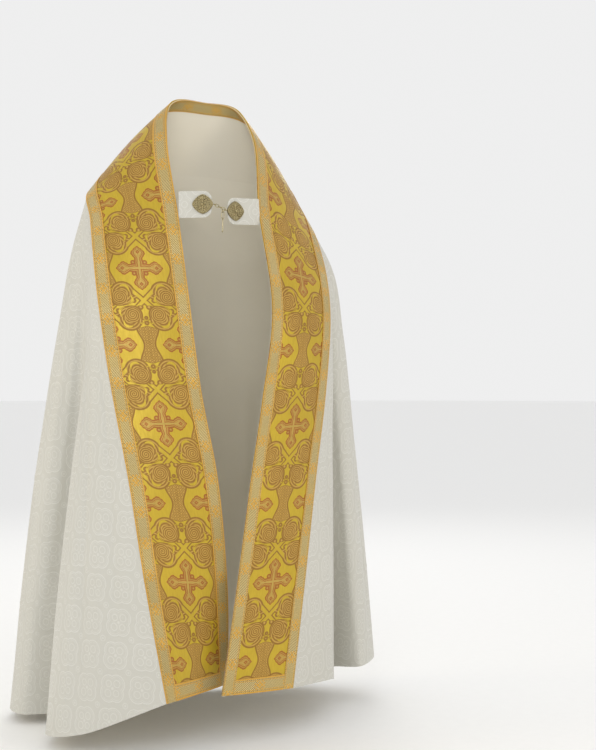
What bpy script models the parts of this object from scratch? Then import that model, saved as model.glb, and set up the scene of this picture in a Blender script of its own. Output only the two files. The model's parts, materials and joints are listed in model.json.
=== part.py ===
"""Cope vestment: an open cloak with gold orphrey bands, a fringed shield hood and a chained morse.

Frame: the origin is the middle of the neck at the height of the shoulders. +X runs to the wearer's
left, the wearer faces -Y, and +Z is up. Sizes are in metres.
"""
import math
from collections import namedtuple

import bmesh
import bpy
import numpy as np
from mathutils import Matrix, Vector

OBJECT_NAME = "cope_vestment"

# Cloth walls, from the outer face inwards, and the gap kept at every seam and between layers.
CLOTH = 0.0020
LINING = 0.0010
GALLOON = 0.0010
HOOD_CLOTH = 0.0015
SEAM_GAP = 0.0003

# Trim and hood sizes.
BAND_WIDTH = 0.20
GALLOON_WIDTH = 0.031
BACK_GALLOON_WIDTH = 0.030
HOOD_TOP_HALF_WIDTH = 0.214
HOOD_HALF_WIDTH = 0.250
HOOD_STRAIGHT = 0.180
HOOD_LENGTH = 0.485
HOOD_LIFT = 0.0050
HOOD_REACH = 0.560
FRINGE_DROP = 0.062
FRINGE_TOP_SHARE = 0.20
FRINGE_SPREAD = 0.012
FRINGE_THICKNESS = 0.0045
FRINGE_START = 0.0020
FRINGE_FLARE = 0.06
EDGE_START = 0.0006

# How finely the cloth is sectioned: columns round the body, rows down it, strips across the band.
BODY_COLUMNS = 40
BODY_ROWS = 11
BAND_BROCADE_COLUMNS = 3
NECK_GALLOON_REACH = 13
HOOD_ARC_STEPS = 8

# The band, from the wearer's right hem round the neck to the left hem. Each row holds the band's inner
# edge, its outer edge, and how far the cloth between them bows outwards.
Station = namedtuple("Station", "inner outer bow")
BAND = (
    Station((-0.007, -0.143, -1.273), (-0.181, -0.262, -1.279), 0.004),
    Station((-0.018, -0.175, -1.030), (-0.226, -0.236, -1.007), 0.006),
    Station((-0.047, -0.200, -0.790), (-0.254, -0.203, -0.790), 0.008),
    Station((-0.083, -0.190, -0.590), (-0.286, -0.172, -0.590), 0.010),
    Station((-0.109, -0.170, -0.360), (-0.311, -0.120, -0.360), 0.012),
    Station((-0.122, -0.125, -0.178), (-0.311, -0.035, -0.190), 0.016),
    Station((-0.126, -0.030, 0.010), (-0.302, 0.040, -0.110), 0.022),
    Station((-0.106, 0.040, 0.108), (-0.237, 0.115, -0.072), 0.018),
    Station((0.000, 0.075, 0.129), (0.000, 0.150, -0.045), 0.006),
    Station((0.078, 0.048, 0.104), (0.222, 0.108, -0.088), 0.010),
    Station((0.096, -0.008, 0.030), (0.248, 0.030, -0.160), 0.006),
    Station((0.078, -0.110, -0.150), (0.260, -0.040, -0.245), 0.008),
    Station((0.088, -0.188, -0.390), (0.263, -0.100, -0.395), 0.010),
    Station((0.057, -0.210, -0.610), (0.241, -0.127, -0.600), 0.008),
    Station((0.028, -0.216, -0.790), (0.210, -0.148, -0.790), 0.008),
    Station((-0.005, -0.217, -1.030), (0.176, -0.169, -1.025), 0.006),
    Station((-0.041, -0.212, -1.284), (0.138, -0.190, -1.284), 0.004),
)
RIGHT_SHOULDER = 5
CENTRE_BACK = 8
LEFT_SHOULDER = 11

# The cloak below the band, one row per fall (0 at the band, 1 at the hem). Each side turns back round a
# ridge, dips into a valley, rises to a lobe, and reaches furthest out at the side.
Side = namedtuple("Side", "fall ridge valley lobe side")
RIGHT_SIDE = (
    Side(0.10, (-0.316, -0.040), (-0.322, -0.005), (-0.330, 0.028), (-0.336, 0.060)),
    Side(0.25, (-0.322, -0.062), (-0.318, 0.012), (-0.350, 0.046), (-0.366, 0.092)),
    Side(0.50, (-0.360, -0.074), (-0.324, 0.044), (-0.387, 0.070), (-0.409, 0.130)),
    Side(0.75, (-0.396, -0.084), (-0.344, 0.062), (-0.422, 0.092), (-0.443, 0.152)),
    Side(1.00, (-0.423, -0.092), (-0.362, 0.082), (-0.449, 0.115), (-0.471, 0.178)),
)
LEFT_SIDE = (
    Side(0.10, (0.272, -0.030), (0.280, 0.000), (0.304, 0.022), (0.324, 0.056)),
    Side(0.25, (0.280, -0.040), (0.292, 0.032), (0.332, 0.040), (0.368, 0.084)),
    Side(0.50, (0.290, -0.012), (0.312, 0.072), (0.363, 0.050), (0.410, 0.112)),
    Side(0.75, (0.304, 0.018), (0.332, 0.104), (0.386, 0.056), (0.448, 0.134)),
    Side(1.00, (0.320, 0.044), (0.350, 0.132), (0.406, 0.060), (0.484, 0.160)),
)
BACK_FALL = (0.10, 0.25, 0.50, 0.75, 1.00)
BACK_DEPTH = (0.172, 0.204, 0.252, 0.296, 0.335)

# Places round the body from the right band (0) over the centre back (0.5) to the left band (1), and the
# hem's height at each of them.
PLACES = ("edge", "panel", "ridge", "valley", "lobe", "side", "turn", "back")
PLACE_AT = (0.0, 0.075, 0.130, 0.178, 0.222, 0.268, 0.350, 0.430)
RIGHT_HEM = (-1.279, -1.350, -1.368, -1.372, -1.372, -1.372, -1.375, -1.380)
LEFT_HEM = (-1.284, -1.300, -1.325, -1.318, -1.305, -1.303, -1.330, -1.365)
BACK_HEM = -1.384
PANEL_SHARE = 0.62
PANEL_BOW = 0.13
TURN_ANGLE = math.radians(38)
BACK_ANGLE = math.radians(66)

# Soft folds that run down the cloak: place round the body, half width, depth at the hem, starting fall.
Fold = namedtuple("Fold", "at half_width depth start")
FOLDS = (
    Fold(0.315, 0.030, 0.020, 0.36),
    Fold(0.395, 0.034, -0.024, 0.36),
    Fold(0.455, 0.026, 0.014, 0.40),
    Fold(0.530, 0.030, -0.022, 0.36),
    Fold(0.595, 0.032, 0.018, 0.38),
    Fold(0.665, 0.030, -0.020, 0.36),
    Fold(0.050, 0.026, -0.006, 0.35),
)

# Morse: cloth tabs that carry metal plates, joined by a chain with a hanging tail.
TAB_HEIGHT = 0.062
TAB_THICKNESS = 0.0030
TAB_CORNER = 0.020
TAB_CLEARANCE = 0.0012
RIGHT_TAB_ROOT = (-0.1210, -0.1240, -0.155)
RIGHT_TAB_END = (-0.0500, -0.1600, -0.155)
LEFT_TAB_ROOT = (0.0760, -0.1200, -0.164)
LEFT_TAB_END = (-0.0125, -0.1570, -0.169)
PLATE_LENGTH = 0.050
PLATE_HEIGHT = 0.046
PLATE_THICKNESS = 0.0024
PLATE_POINTEDNESS = 1.35
PLATE_OVERHANG = 0.0040
LINK_WIRE = 0.0008
LINK_HALF_WIDTH = 0.0032
RING_RADIUS = 0.0030
TAIL_RING_RADIUS = 0.0038
TAIL_LINK_HALF_LENGTH = 0.0080
PIN_EYE_RADIUS = 0.0026
PIN_LENGTH = 0.0250
PIN_HOOK_RADIUS = 0.0030
WIRE_CLEARANCE = 0.0004


# ---------------------------------------------------------------- curves and surfaces

def smooth(knots, points, at):
    """Read a smooth curve that passes through points at the given knots."""
    knots = np.asarray(knots, float)
    points = np.asarray(points, float)
    slope = np.gradient(points, knots, axis=0)
    at = np.clip(np.asarray(at, float), knots[0], knots[-1])
    i = np.clip(np.searchsorted(knots, at, side="right") - 1, 0, len(knots) - 2)
    step = knots[i + 1] - knots[i]
    s = (at - knots[i]) / step
    shape = s.shape + (1,) * (points.ndim - 1)
    s = s.reshape(shape)
    step = step.reshape(shape)
    start = points[i] * (1 + 2 * s) * (1 - s) ** 2 + slope[i] * step * s * (1 - s) ** 2
    return start + points[i + 1] * s * s * (3 - 2 * s) + slope[i + 1] * step * s * s * (s - 1)


def unit(vectors):
    """Scale every vector to length one."""
    return vectors / np.maximum(np.linalg.norm(vectors, axis=-1, keepdims=True), 1e-12)


def chord_knots(points):
    """Knots in step with the distance along a row of points."""
    return np.concatenate([[0.0], np.cumsum(np.linalg.norm(np.diff(points, axis=0), axis=1))])


BAND_INNER = np.array([row.inner for row in BAND])
BAND_OUTER = np.array([row.outer for row in BAND])
BAND_BOW = np.array([row.bow for row in BAND])
BAND_KNOTS = chord_knots((BAND_INNER + BAND_OUTER) / 2)


def outer_edge(t):
    """Point on the band's outer edge."""
    return smooth(BAND_KNOTS, BAND_OUTER, t)


def inner_edge(t):
    """Point on the band's inner edge."""
    return smooth(BAND_KNOTS, BAND_INNER, t)


def edge_lookup(height, first, last):
    """Places along the outer edge, between two stations, that lie at the given heights."""
    t = np.linspace(BAND_KNOTS[first], BAND_KNOTS[last], 600)
    z = outer_edge(t)[:, 2]
    order = np.argsort(z)
    return np.interp(height, z[order], t[order])


def top_place(u):
    """Place along the band's outer edge that meets the top of the body at u."""
    knots = (0.0, PLACE_AT[5], 0.5, 1 - PLACE_AT[5], 1.0)
    stations = (RIGHT_SHOULDER, RIGHT_SHOULDER + 1, CENTRE_BACK, LEFT_SHOULDER - 1, LEFT_SHOULDER)
    return smooth(knots, BAND_KNOTS[list(stations)], u)


def all_places():
    """Knots round the body, right to left, with the hem height at each."""
    left = [1 - place for place in reversed(PLACE_AT)]
    hem = list(RIGHT_HEM) + [BACK_HEM] + list(reversed(LEFT_HEM))
    return np.array(list(PLACE_AT) + [0.5] + left), np.array(hem)


def side_places(table, fall, edge, back):
    """Horizontal positions at one fall on one side: band edge, panel, ridge ... round to the back."""
    falls = [row.fall for row in table]
    ridge, valley, lobe, side = (smooth(falls, [getattr(row, name) for row in table], fall)
                                 for name in ("ridge", "valley", "lobe", "side"))
    across = ridge - edge
    outwards = np.array([across[1], -across[0]])
    if outwards @ edge < 0:
        outwards = -outwards
    panel = edge + across * PANEL_SHARE + outwards * PANEL_BOW
    rest = [side * (math.cos(angle), 1) + ((0.0, (back - side[1]) * math.sin(angle)))
            for angle in (TURN_ANGLE, BACK_ANGLE)]
    return [edge, panel, ridge, valley, lobe, side] + rest


def body_surface(u, v):
    """Outer face of the cloak: a grid of points for places u round it and falls v down it."""
    u = np.asarray(u, float)
    v = np.asarray(v, float)
    knots, hem = all_places()
    top = outer_edge(top_place(knots))
    table_falls = [0.0] + list(BACK_FALL)
    rings = []
    for fall in table_falls:
        heights = top[:, 2] + (hem - top[:, 2]) * fall
        if fall == 0.0:
            rings.append(top)
            continue
        right = outer_edge(edge_lookup(heights[0], 0, RIGHT_SHOULDER))
        left = outer_edge(edge_lookup(heights[-1], LEFT_SHOULDER, len(BAND) - 1))
        back = float(np.interp(fall, BACK_FALL, BACK_DEPTH))
        flat = side_places(RIGHT_SIDE, fall, right[:2], back)
        flat += [np.array([0.0, back])]
        flat += list(reversed(side_places(LEFT_SIDE, fall, left[:2], back)))
        rings.append(np.column_stack([np.array(flat), heights]))
    rows = smooth(table_falls, np.array(rings), v)
    grid = smooth(knots, rows.transpose(1, 0, 2), u).transpose(1, 0, 2)
    fade = (1 - v)[:, None, None] ** 3
    grid = grid + fade * (outer_edge(top_place(u)) - smooth(knots, top, u))[None]
    grid = add_folds(grid, u, v)
    grid[:, 0] = outer_edge(edge_lookup(grid[:, 0, 2], 0, RIGHT_SHOULDER))
    grid[:, -1] = outer_edge(edge_lookup(grid[:, -1, 2], LEFT_SHOULDER, len(BAND) - 1))
    grid[0] = outer_edge(top_place(u))
    return grid


def add_folds(grid, u, v):
    """Push the cloak in and out, level with the floor, along its soft folds."""
    along = np.gradient(grid[:, :, :2], axis=1)
    outwards = unit(np.stack([-along[:, :, 1], along[:, :, 0]], axis=-1))
    push = np.zeros(grid.shape[:2])
    for fold in FOLDS:
        across = np.exp(-((u - fold.at) / fold.half_width) ** 2)
        down = np.clip((v - fold.start) / (1 - fold.start), 0, 1) ** 1.3
        push += fold.depth * down[:, None] * across[None]
    grid[:, :, :2] += outwards * push[:, :, None]
    return grid


def band_surface(t, across):
    """Outer face of the band: rows t along it, columns from its inner edge (0) to its outer edge (1)."""
    inner = inner_edge(t)
    outer = outer_edge(t)
    along = unit(np.gradient((inner + outer) / 2, axis=0))
    outwards = unit(np.cross(along, outer - inner))
    bow = smooth(BAND_KNOTS, BAND_BOW, t)
    share = np.asarray(across)[None, :, None]
    lift = 4 * share * (1 - share) * bow[:, None, None]
    return inner[:, None] * (1 - share) + outer[:, None] * share + outwards[:, None] * lift


def grid_normals(grid):
    """Unit normals of a grid of points, from its two directions."""
    return unit(np.cross(np.gradient(grid, axis=0), np.gradient(grid, axis=1)))


def body_places():
    """Falls and places round the body at which the cloak is sectioned."""
    shortest = 1.1
    v = np.append(np.linspace(0, 1 - GALLOON_WIDTH / shortest, BODY_ROWS), 1.0)
    return np.linspace(0, 1, BODY_COLUMNS + 1), v


def band_places(grid, u):
    """Places along the band that meet each point on the cloak's edge, right hem to left hem."""
    right = edge_lookup(grid[::-1, 0, 2], 0, RIGHT_SHOULDER)
    top = top_place(u)[1:-1]
    left = edge_lookup(grid[:, -1, 2], LEFT_SHOULDER, len(BAND) - 1)
    return np.concatenate([right, top, left])


def band_columns():
    """Columns across the band, with one at the inside of each galloon."""
    trim = GALLOON_WIDTH / BAND_WIDTH
    return np.concatenate([[0.0], np.linspace(trim, 1 - trim, BAND_BROCADE_COLUMNS + 1), [1.0]])


def cloth_layout():
    """Points and normals of cloak and band, sharing one normal where they are sewn together."""
    u, v = body_places()
    body = body_surface(u, v)
    band = band_surface(band_places(body, u), band_columns())
    body_out = -grid_normals(body)
    band_out = grid_normals(band)
    seam = np.concatenate([body_out[::-1, 0], body_out[0, 1:-1], body_out[:, -1]])
    shared = unit(unit(seam) + band_out[:, -1])
    rows = len(v)
    band_out[:, -1] = shared
    body_out[:, 0] = shared[:rows][::-1]
    body_out[:, -1] = shared[-rows:]
    body_out[0, 1:-1] = shared[rows:-rows]
    return body, body_out, band, band_out


# ---------------------------------------------------------------- building pieces

def principled(name, colour, roughness, metallic):
    """A plain material for one piece."""
    material = bpy.data.materials.new(name)
    material.use_nodes = True
    shader = material.node_tree.nodes["Principled BSDF"]
    shader.inputs["Base Color"].default_value = (*colour, 1.0)
    shader.inputs["Roughness"].default_value = roughness
    shader.inputs["Metallic"].default_value = metallic
    return material


FINISHES = {
    "damask": ((0.80, 0.78, 0.68), 0.55, 0.0),
    "lining": ((0.82, 0.72, 0.56), 0.50, 0.0),
    "brocade": ((0.60, 0.40, 0.05), 0.40, 0.2),
    "galloon": ((0.55, 0.38, 0.10), 0.40, 0.3),
    "lame": ((0.50, 0.28, 0.05), 0.45, 0.3),
    "fringe": ((0.40, 0.28, 0.12), 0.60, 0.2),
    "brass": ((0.55, 0.45, 0.25), 0.35, 1.0),
}


def finish_object(obj, finish, smooth_angle=50):
    """Give a piece its own material, smooth its faces and put it in the object's collection."""
    obj.data.materials.clear()
    obj.data.materials.append(principled(obj.name, *FINISHES[finish]))
    for collection in list(obj.users_collection):
        collection.objects.unlink(obj)
    bpy.data.collections[OBJECT_NAME].objects.link(obj)
    if obj.type == "MESH":
        obj.data.shade_smooth()
        obj.data.set_sharp_from_angle(angle=math.radians(smooth_angle))
    return obj


def pull_in(grid, edges, gap=SEAM_GAP / 2):
    """Draw the named edges of a grid in by half a seam gap: first or last row, first or last column."""
    grid = grid.copy()
    for edge in edges:
        axis = 0 if edge.endswith("row") else 1
        view = grid if axis == 0 else grid.transpose(1, 0, 2)
        border, inside = (0, 1) if edge.startswith("first") else (-1, -2)
        view[border] += unit(view[inside] - view[border]) * gap
    return grid


def wall(name, points, normals, outside, inside, finish, edges=()):
    """A cloth wall between two distances from a grid of points, closed round its rim."""
    points = pull_in(points, edges)
    rows, columns = points.shape[:2]
    count = rows * columns
    skins = np.concatenate([(points + normals * outside).reshape(-1, 3), (points + normals * inside).reshape(-1, 3)])
    faces = []
    for r in range(rows - 1):
        for c in range(columns - 1):
            a, b, d, e = r * columns + c, r * columns + c + 1, (r + 1) * columns + c, (r + 1) * columns + c + 1
            faces += [(a, b, e), (a, e, d), (count + a, count + e, count + b), (count + a, count + d, count + e)]
    loop = list(range(columns)) + [r * columns + columns - 1 for r in range(1, rows)]
    loop += [count - 1 - c for c in range(1, columns)] + [r * columns for r in range(rows - 2, 0, -1)]
    for here, after in zip(loop, loop[1:] + loop[:1]):
        faces += [(here, count + after, after), (here, count + here, count + after)]
    mesh = bpy.data.meshes.new(name)
    mesh.from_pydata(skins.tolist(), [], faces)
    tidy = bmesh.new()
    tidy.from_mesh(mesh)
    if tidy.calc_volume(signed=True) < 0:
        bmesh.ops.reverse_faces(tidy, faces=tidy.faces)
    tidy.to_mesh(mesh)
    tidy.free()
    obj = bpy.data.objects.new(name, mesh)
    bpy.context.scene.collection.objects.link(obj)
    return finish_object(obj, finish)


def build_cloak(body, out):
    """Both halves of the cloak and of its lining, parted at the centre-back seam."""
    middle = BODY_COLUMNS // 2
    inner_face = -CLOTH - SEAM_GAP
    for side, columns in (("right", slice(0, middle + 1)), ("left", slice(middle, None))):
        edges = ("first row", "first column", "last column")
        wall(f"body_{side}", body[:, columns], out[:, columns], 0.0, -CLOTH, "damask", edges)
        wall(f"lining_body_{side}", body[:, columns], out[:, columns], inner_face, inner_face - LINING,
             "lining", edges)


def build_band(band, out):
    """Both halves of the band with lining, edge galloons and bottom galloons."""
    middle = (band.shape[0] - 1) // 2
    inner_face = -CLOTH - SEAM_GAP
    top = SEAM_GAP + GALLOON
    halves = (("right", slice(0, middle + 1), "last row"), ("left", slice(middle, None), "first row"))
    for side, rows, seam in halves:
        points, normals = band[rows], out[rows]
        wall(f"orphrey_{side}", points, normals, 0.0, -CLOTH, "brocade", (seam, "last column"))
        wall(f"lining_orphrey_{side}", points, normals, inner_face, inner_face - LINING, "lining",
             (seam, "last column"))
        wall(f"galloon_inner_{side}", points[:, :2], normals[:, :2], top, SEAM_GAP, "galloon",
             (seam, "last column"))
        wall(f"galloon_outer_{side}", points[:, -2:], normals[:, -2:], top, SEAM_GAP, "galloon",
             (seam, "first column", "last column"))
        ends = slice(0, 2) if side == "right" else slice(-2, None)
        wall(f"galloon_bottom_{side}", points[ends, 1:-1], normals[ends, 1:-1], top, SEAM_GAP, "galloon",
             ("first column", "last column"))
    build_back_galloon(band, out, middle)
    build_neck_galloon(band, out, middle)


def build_back_galloon(band, out, middle):
    """Short galloon over the join of the two bands, between the edge galloons."""
    half = BACK_GALLOON_WIDTH / 2
    strip = slice(middle - 4, middle + 5)
    across = (-half, 0.0, half)
    points = np.array([[[np.interp(x, band[strip, c, 0], band[strip, c, axis]) for axis in range(3)]
                        for x in across] for c in range(1, band.shape[1] - 1)])
    normals = unit(np.array([[[np.interp(x, band[strip, c, 0], out[strip, c, axis]) for axis in range(3)]
                              for x in across] for c in range(1, band.shape[1] - 1)]))
    lift = 2 * SEAM_GAP
    wall("galloon_back", points, normals, lift + GALLOON, lift, "galloon", ("first row", "last row"))


def build_neck_galloon(band, out, middle):
    """Galloon strip sewn inside the back of the neck, over the lining."""
    strip = slice(middle - NECK_GALLOON_REACH, middle + NECK_GALLOON_REACH + 1)
    face = -CLOTH - LINING - 2 * SEAM_GAP
    wall("neck_galloon", band[strip, :2], out[strip, :2], face, face - GALLOON, "galloon", ("last column",))


# ---------------------------------------------------------------- hood

class Back:
    """A smooth sheet that the hood hangs in, fitted just clear of the band's trim and the cloak's back."""

    def __init__(self, body, band):
        first = int(round(PLACE_AT[5] * BODY_COLUMNS))
        columns = slice(first, BODY_COLUMNS + 1 - first)
        rows = body.shape[0]
        trim_line = band[rows - 1:rows + BODY_COLUMNS, -2]
        self.grid = np.concatenate([trim_line[None, columns], body[:, columns]])
        share, down = np.meshgrid(np.linspace(-1, 1, 41), np.linspace(0, HOOD_REACH, 37))
        share, down = share.ravel(), down.ravel()
        x = share * np.array([hood_half_width(fall) + FRINGE_SPREAD for fall in down])
        cloth = np.array([self.cloth_depth(place, self.height(place, fall)) for place, fall in zip(x, down)])
        self.shape = np.linalg.lstsq(self.terms(x, down), cloth, rcond=None)[0]
        self.clearance = max(cloth - self.terms(x, down) @ self.shape)

    @staticmethod
    def terms(x, down):
        """Powers of the place across and down that make up the sheet."""
        return np.stack([x ** i * down ** j for i in range(5) for j in range(4)], axis=-1)

    def cloth_depth(self, x, z):
        """How far back the cloth beneath lies at one x and z."""
        ys = [np.interp(x, row[:, 0], row[:, 1]) for row in self.grid]
        zs = [np.interp(x, row[:, 0], row[:, 2]) for row in self.grid]
        return np.interp(-z, -np.array(zs), ys)

    def top(self, x):
        """Height of the inside of the band's outer trim at x, level beyond the hood's top corners."""
        x = min(max(x, -HOOD_TOP_HALF_WIDTH), HOOD_TOP_HALF_WIDTH)
        return float(np.interp(x, self.grid[0, :, 0], self.grid[0, :, 2]))

    def height(self, x, down):
        """Height of a place on the hood, whose top follows the trim and whose lower part hangs level."""
        share = min(max(down / HOOD_STRAIGHT, 0.0), 1.0)
        share = share * share * (3 - 2 * share)
        return self.top(x) * (1 - share) + self.top(0.0) * share - down

    def depth(self, x, down):
        """How far back the sheet lies at a distance across and down."""
        return float(self.terms(np.array(x), np.array(down)) @ self.shape) + self.clearance

    def place(self, across, down, lift):
        """Point at a distance across and down the sheet, lifted off it."""
        step = 0.004
        slope_x = (self.depth(across + step, down) - self.depth(across - step, down)) / (2 * step)
        slope_z = (self.depth(across, down - step) - self.depth(across, down + step)) / (2 * step)
        normal = unit(np.array([-slope_x, 1.0, -slope_z]))
        return np.array([across, self.depth(across, down), self.height(across, down)]) + normal * lift


def hood_half_width(down):
    """Half width of the hood at a distance below its top."""
    share = min(max(down / HOOD_STRAIGHT, 0.0), 1.0)
    share = share * share * (3 - 2 * share)
    return HOOD_TOP_HALF_WIDTH + (HOOD_HALF_WIDTH - HOOD_TOP_HALF_WIDTH) * share


def hood_ring(inset):
    """One U-shaped line on the hood, set in from its edge, from the top right round to the top left."""
    side = []
    for down in (0.0, GALLOON_WIDTH, 0.075, 0.125, HOOD_STRAIGHT):
        side.append((hood_half_width(down) * (1 - inset / HOOD_HALF_WIDTH), down))
    arc_drop = HOOD_LENGTH - HOOD_STRAIGHT - inset
    for i in range(1, HOOD_ARC_STEPS + 1):
        angle = math.pi / 2 * i / HOOD_ARC_STEPS
        side.append(((HOOD_HALF_WIDTH - inset) * math.cos(angle), HOOD_STRAIGHT + arc_drop * math.sin(angle)))
    return [(-x, down) for x, down in side] + [(x, down) for x, down in reversed(side[:-1])]


def hood_piece(name, back, rows, lift, thickness, finish):
    """One wall on the back, from rows of (across, down) places and its height off the cloak."""
    lower, upper = (np.array([[back.place(x, down, height) for x, down in row] for row in rows])
                    for height in (lift, lift + thickness))
    solid_between(name, lower, upper, finish)


def build_hood(body, band):
    """The shield hood, its galloons and its fringe."""
    back = Back(body, band)
    insets = (0.0, GALLOON_WIDTH, 0.085, 0.140, 0.200, HOOD_HALF_WIDTH)
    rings = [hood_ring(inset) for inset in insets]
    hood_piece("hood", back, rings, HOOD_LIFT, HOOD_CLOTH, "lame")
    trim_lift = HOOD_LIFT + HOOD_CLOTH + SEAM_GAP
    edge = [[(x, down + EDGE_START * (i in (0, len(ring) - 3))) for i, (x, down) in enumerate(ring[1:-1])]
            for ring in rings[:2]]
    hood_piece("hood_edge_galloon", back, edge, trim_lift, GALLOON, "galloon")
    top = [[ring[i] for ring in rings[:-1]] + [ring[-1 - i] for ring in reversed(rings)] for i in (0, 1)]
    hood_piece("hood_top_galloon", back, top, trim_lift, GALLOON, "galloon")
    build_fringe(back, rings[0][1:-1])


def build_fringe(back, outline):
    """Fringe hanging from the hood's curved edge, as one plain wall of its reach."""
    middle = (len(outline) - 1) / 2
    rows = []
    for reach in (0.0, 0.5, 1.0):
        row = []
        for i, (x, down) in enumerate(outline):
            low = max(down - HOOD_STRAIGHT, 0.0) / (HOOD_LENGTH - HOOD_STRAIGHT)
            outwards = np.sign(i - middle) * FRINGE_SPREAD * (1 - low) + x * FRINGE_FLARE * low
            fall = FRINGE_DROP * (FRINGE_TOP_SHARE + (1 - FRINGE_TOP_SHARE) * low)
            away = FRINGE_START * np.sign(x)
            row.append((x + away + outwards * reach, down + FRINGE_START + fall * reach))
        rows.append(row)
    hood_piece("hood_fringe", back, rows, HOOD_LIFT, FRINGE_THICKNESS, "fringe")


def solid_between(name, lower, upper, finish):
    """A closed solid between two matching grids of points; points that meet become one."""
    columns = lower.shape[1]
    flat = lower.reshape(-1, 3)
    keys = {}
    label = [keys.setdefault(tuple(np.round(point, 5)), index) for index, point in enumerate(flat)]
    skin = []
    for r in range(lower.shape[0] - 1):
        for c in range(columns - 1):
            a, b, d = r * columns + c, r * columns + c + 1, (r + 1) * columns + c
            skin += [(a, b, d + 1), (a, d + 1, d)]
    skin = [tuple(label[i] for i in face) for face in skin]
    skin = [face for face in skin if len(set(face)) == 3]
    sides = [(face[i], face[(i + 1) % 3]) for face in skin for i in range(3)]
    present = set(sides)
    count = len(flat)
    faces = list(skin) + [tuple(count + i for i in reversed(face)) for face in skin]
    for here, after in sides:
        if (after, here) not in present:
            faces += [(after, here, count + here), (after, count + here, count + after)]
    mesh = bpy.data.meshes.new(name)
    mesh.from_pydata(np.concatenate([flat, upper.reshape(-1, 3)]).tolist(), [], faces)
    tidy = bmesh.new()
    tidy.from_mesh(mesh)
    loose = [vert for vert in tidy.verts if not vert.link_faces]
    bmesh.ops.delete(tidy, geom=loose, context="VERTS")
    if tidy.calc_volume(signed=True) < 0:
        bmesh.ops.reverse_faces(tidy, faces=tidy.faces)
    tidy.to_mesh(mesh)
    tidy.free()
    obj = bpy.data.objects.new(name, mesh)
    bpy.context.scene.collection.objects.link(obj)
    return finish_object(obj, finish)


# ---------------------------------------------------------------- morse

def place_frame(origin, along, up=(0.0, 0.0, 1.0)):
    """Matrix whose X runs along a direction, whose Y is up and whose Z faces the front."""
    along = Vector(along).normalized()
    front = along.cross(Vector(up)).normalized()
    if front.y > 0:
        front = -front
    upright = front.cross(along).normalized()
    matrix = Matrix((along, upright, front)).transposed().to_4x4()
    matrix.translation = Vector(origin)
    return matrix


def flat_piece(name, outline, thickness, matrix, finish):
    """A flat outline filled and extruded to a thickness, its back on the frame's plane."""
    curve = bpy.data.curves.new(name, "CURVE")
    curve.dimensions = "2D"
    curve.fill_mode = "BOTH"
    curve.extrude = thickness / 2
    spline = curve.splines.new("POLY")
    spline.points.add(len(outline) - 1)
    for point, (x, y) in zip(spline.points, outline):
        point.co = (x, y, 0.0, 1.0)
    spline.use_cyclic_u = True
    obj = bpy.data.objects.new(name, curve)
    obj.matrix_world = matrix @ Matrix.Translation((0, 0, thickness / 2))
    bpy.context.scene.collection.objects.link(obj)
    return finish_object(obj, finish)


def wire(name, path, radius, matrix, finish, closed=True):
    """A round wire bent along a path in the frame's own directions."""
    curve = bpy.data.curves.new(name, "CURVE")
    curve.dimensions = "3D"
    curve.bevel_depth = radius
    curve.bevel_resolution = 2
    curve.use_fill_caps = not closed
    spline = curve.splines.new("POLY")
    spline.points.add(len(path) - 1)
    for point, place in zip(spline.points, path):
        point.co = (*place, 1.0)
    spline.use_cyclic_u = closed
    obj = bpy.data.objects.new(name, curve)
    obj.matrix_world = matrix
    bpy.context.scene.collection.objects.link(obj)
    return finish_object(obj, finish)


def oval(half_length, half_width, steps=6):
    """A long link's path: straight sides and round ends, in its own X and Y."""
    straight = half_length - half_width
    path = []
    for end in (1, -1):
        for i in range(steps + 1):
            angle = -math.pi / 2 + math.pi * i / steps
            x = straight + half_width * math.cos(angle)
            path.append((end * x, end * half_width * math.sin(angle), 0.0))
    return path


def ring(radius, steps=14):
    """A round link's path in its own X and Y."""
    return [(radius * math.cos(2 * math.pi * i / steps), radius * math.sin(2 * math.pi * i / steps), 0.0)
            for i in range(steps)]


def tab_outline(length):
    """A tab with a square root at the left and rounded corners at its end."""
    half = TAB_HEIGHT / 2
    outline = [(0.0, half), (0.0, -half)]
    for i in range(7):
        angle = -math.pi / 2 + math.pi / 2 * i / 6
        x = length - TAB_CORNER + TAB_CORNER * math.cos(angle)
        outline.append((x, -half + TAB_CORNER + TAB_CORNER * math.sin(angle)))
    return outline + [(x, -y) for x, y in reversed(outline[2:])]


def plate_outline(steps=28):
    """A lozenge plate with soft points."""
    outline = []
    for i in range(steps):
        angle = 2 * math.pi * i / steps
        cosine, sine = math.cos(angle), math.sin(angle)
        x = math.copysign(abs(cosine) ** PLATE_POINTEDNESS, cosine) * PLATE_LENGTH / 2
        y = math.copysign(abs(sine) ** PLATE_POINTEDNESS, sine) * PLATE_HEIGHT / 2
        outline.append((x, y))
    return outline


def build_tab(side, root, end):
    """One cloth tab with its metal plate; returns the place of the plate's inner point."""
    root, end = Vector(root), Vector(end)
    along = (end - root).normalized()
    frame = place_frame(root + along * TAB_CLEARANCE, along)
    length = (end - root).length - TAB_CLEARANCE
    flat_piece(f"morse_tab_{side}", tab_outline(length), TAB_THICKNESS, frame, "damask")
    lift = TAB_THICKNESS + SEAM_GAP
    tip = length + PLATE_OVERHANG
    plate_frame = frame @ Matrix.Translation((tip - PLATE_LENGTH / 2, 0, lift))
    flat_piece(f"clasp_{side}", plate_outline(), PLATE_THICKNESS, plate_frame, "brass")
    return frame @ Vector((tip, 0, lift + PLATE_THICKNESS / 2))


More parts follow.
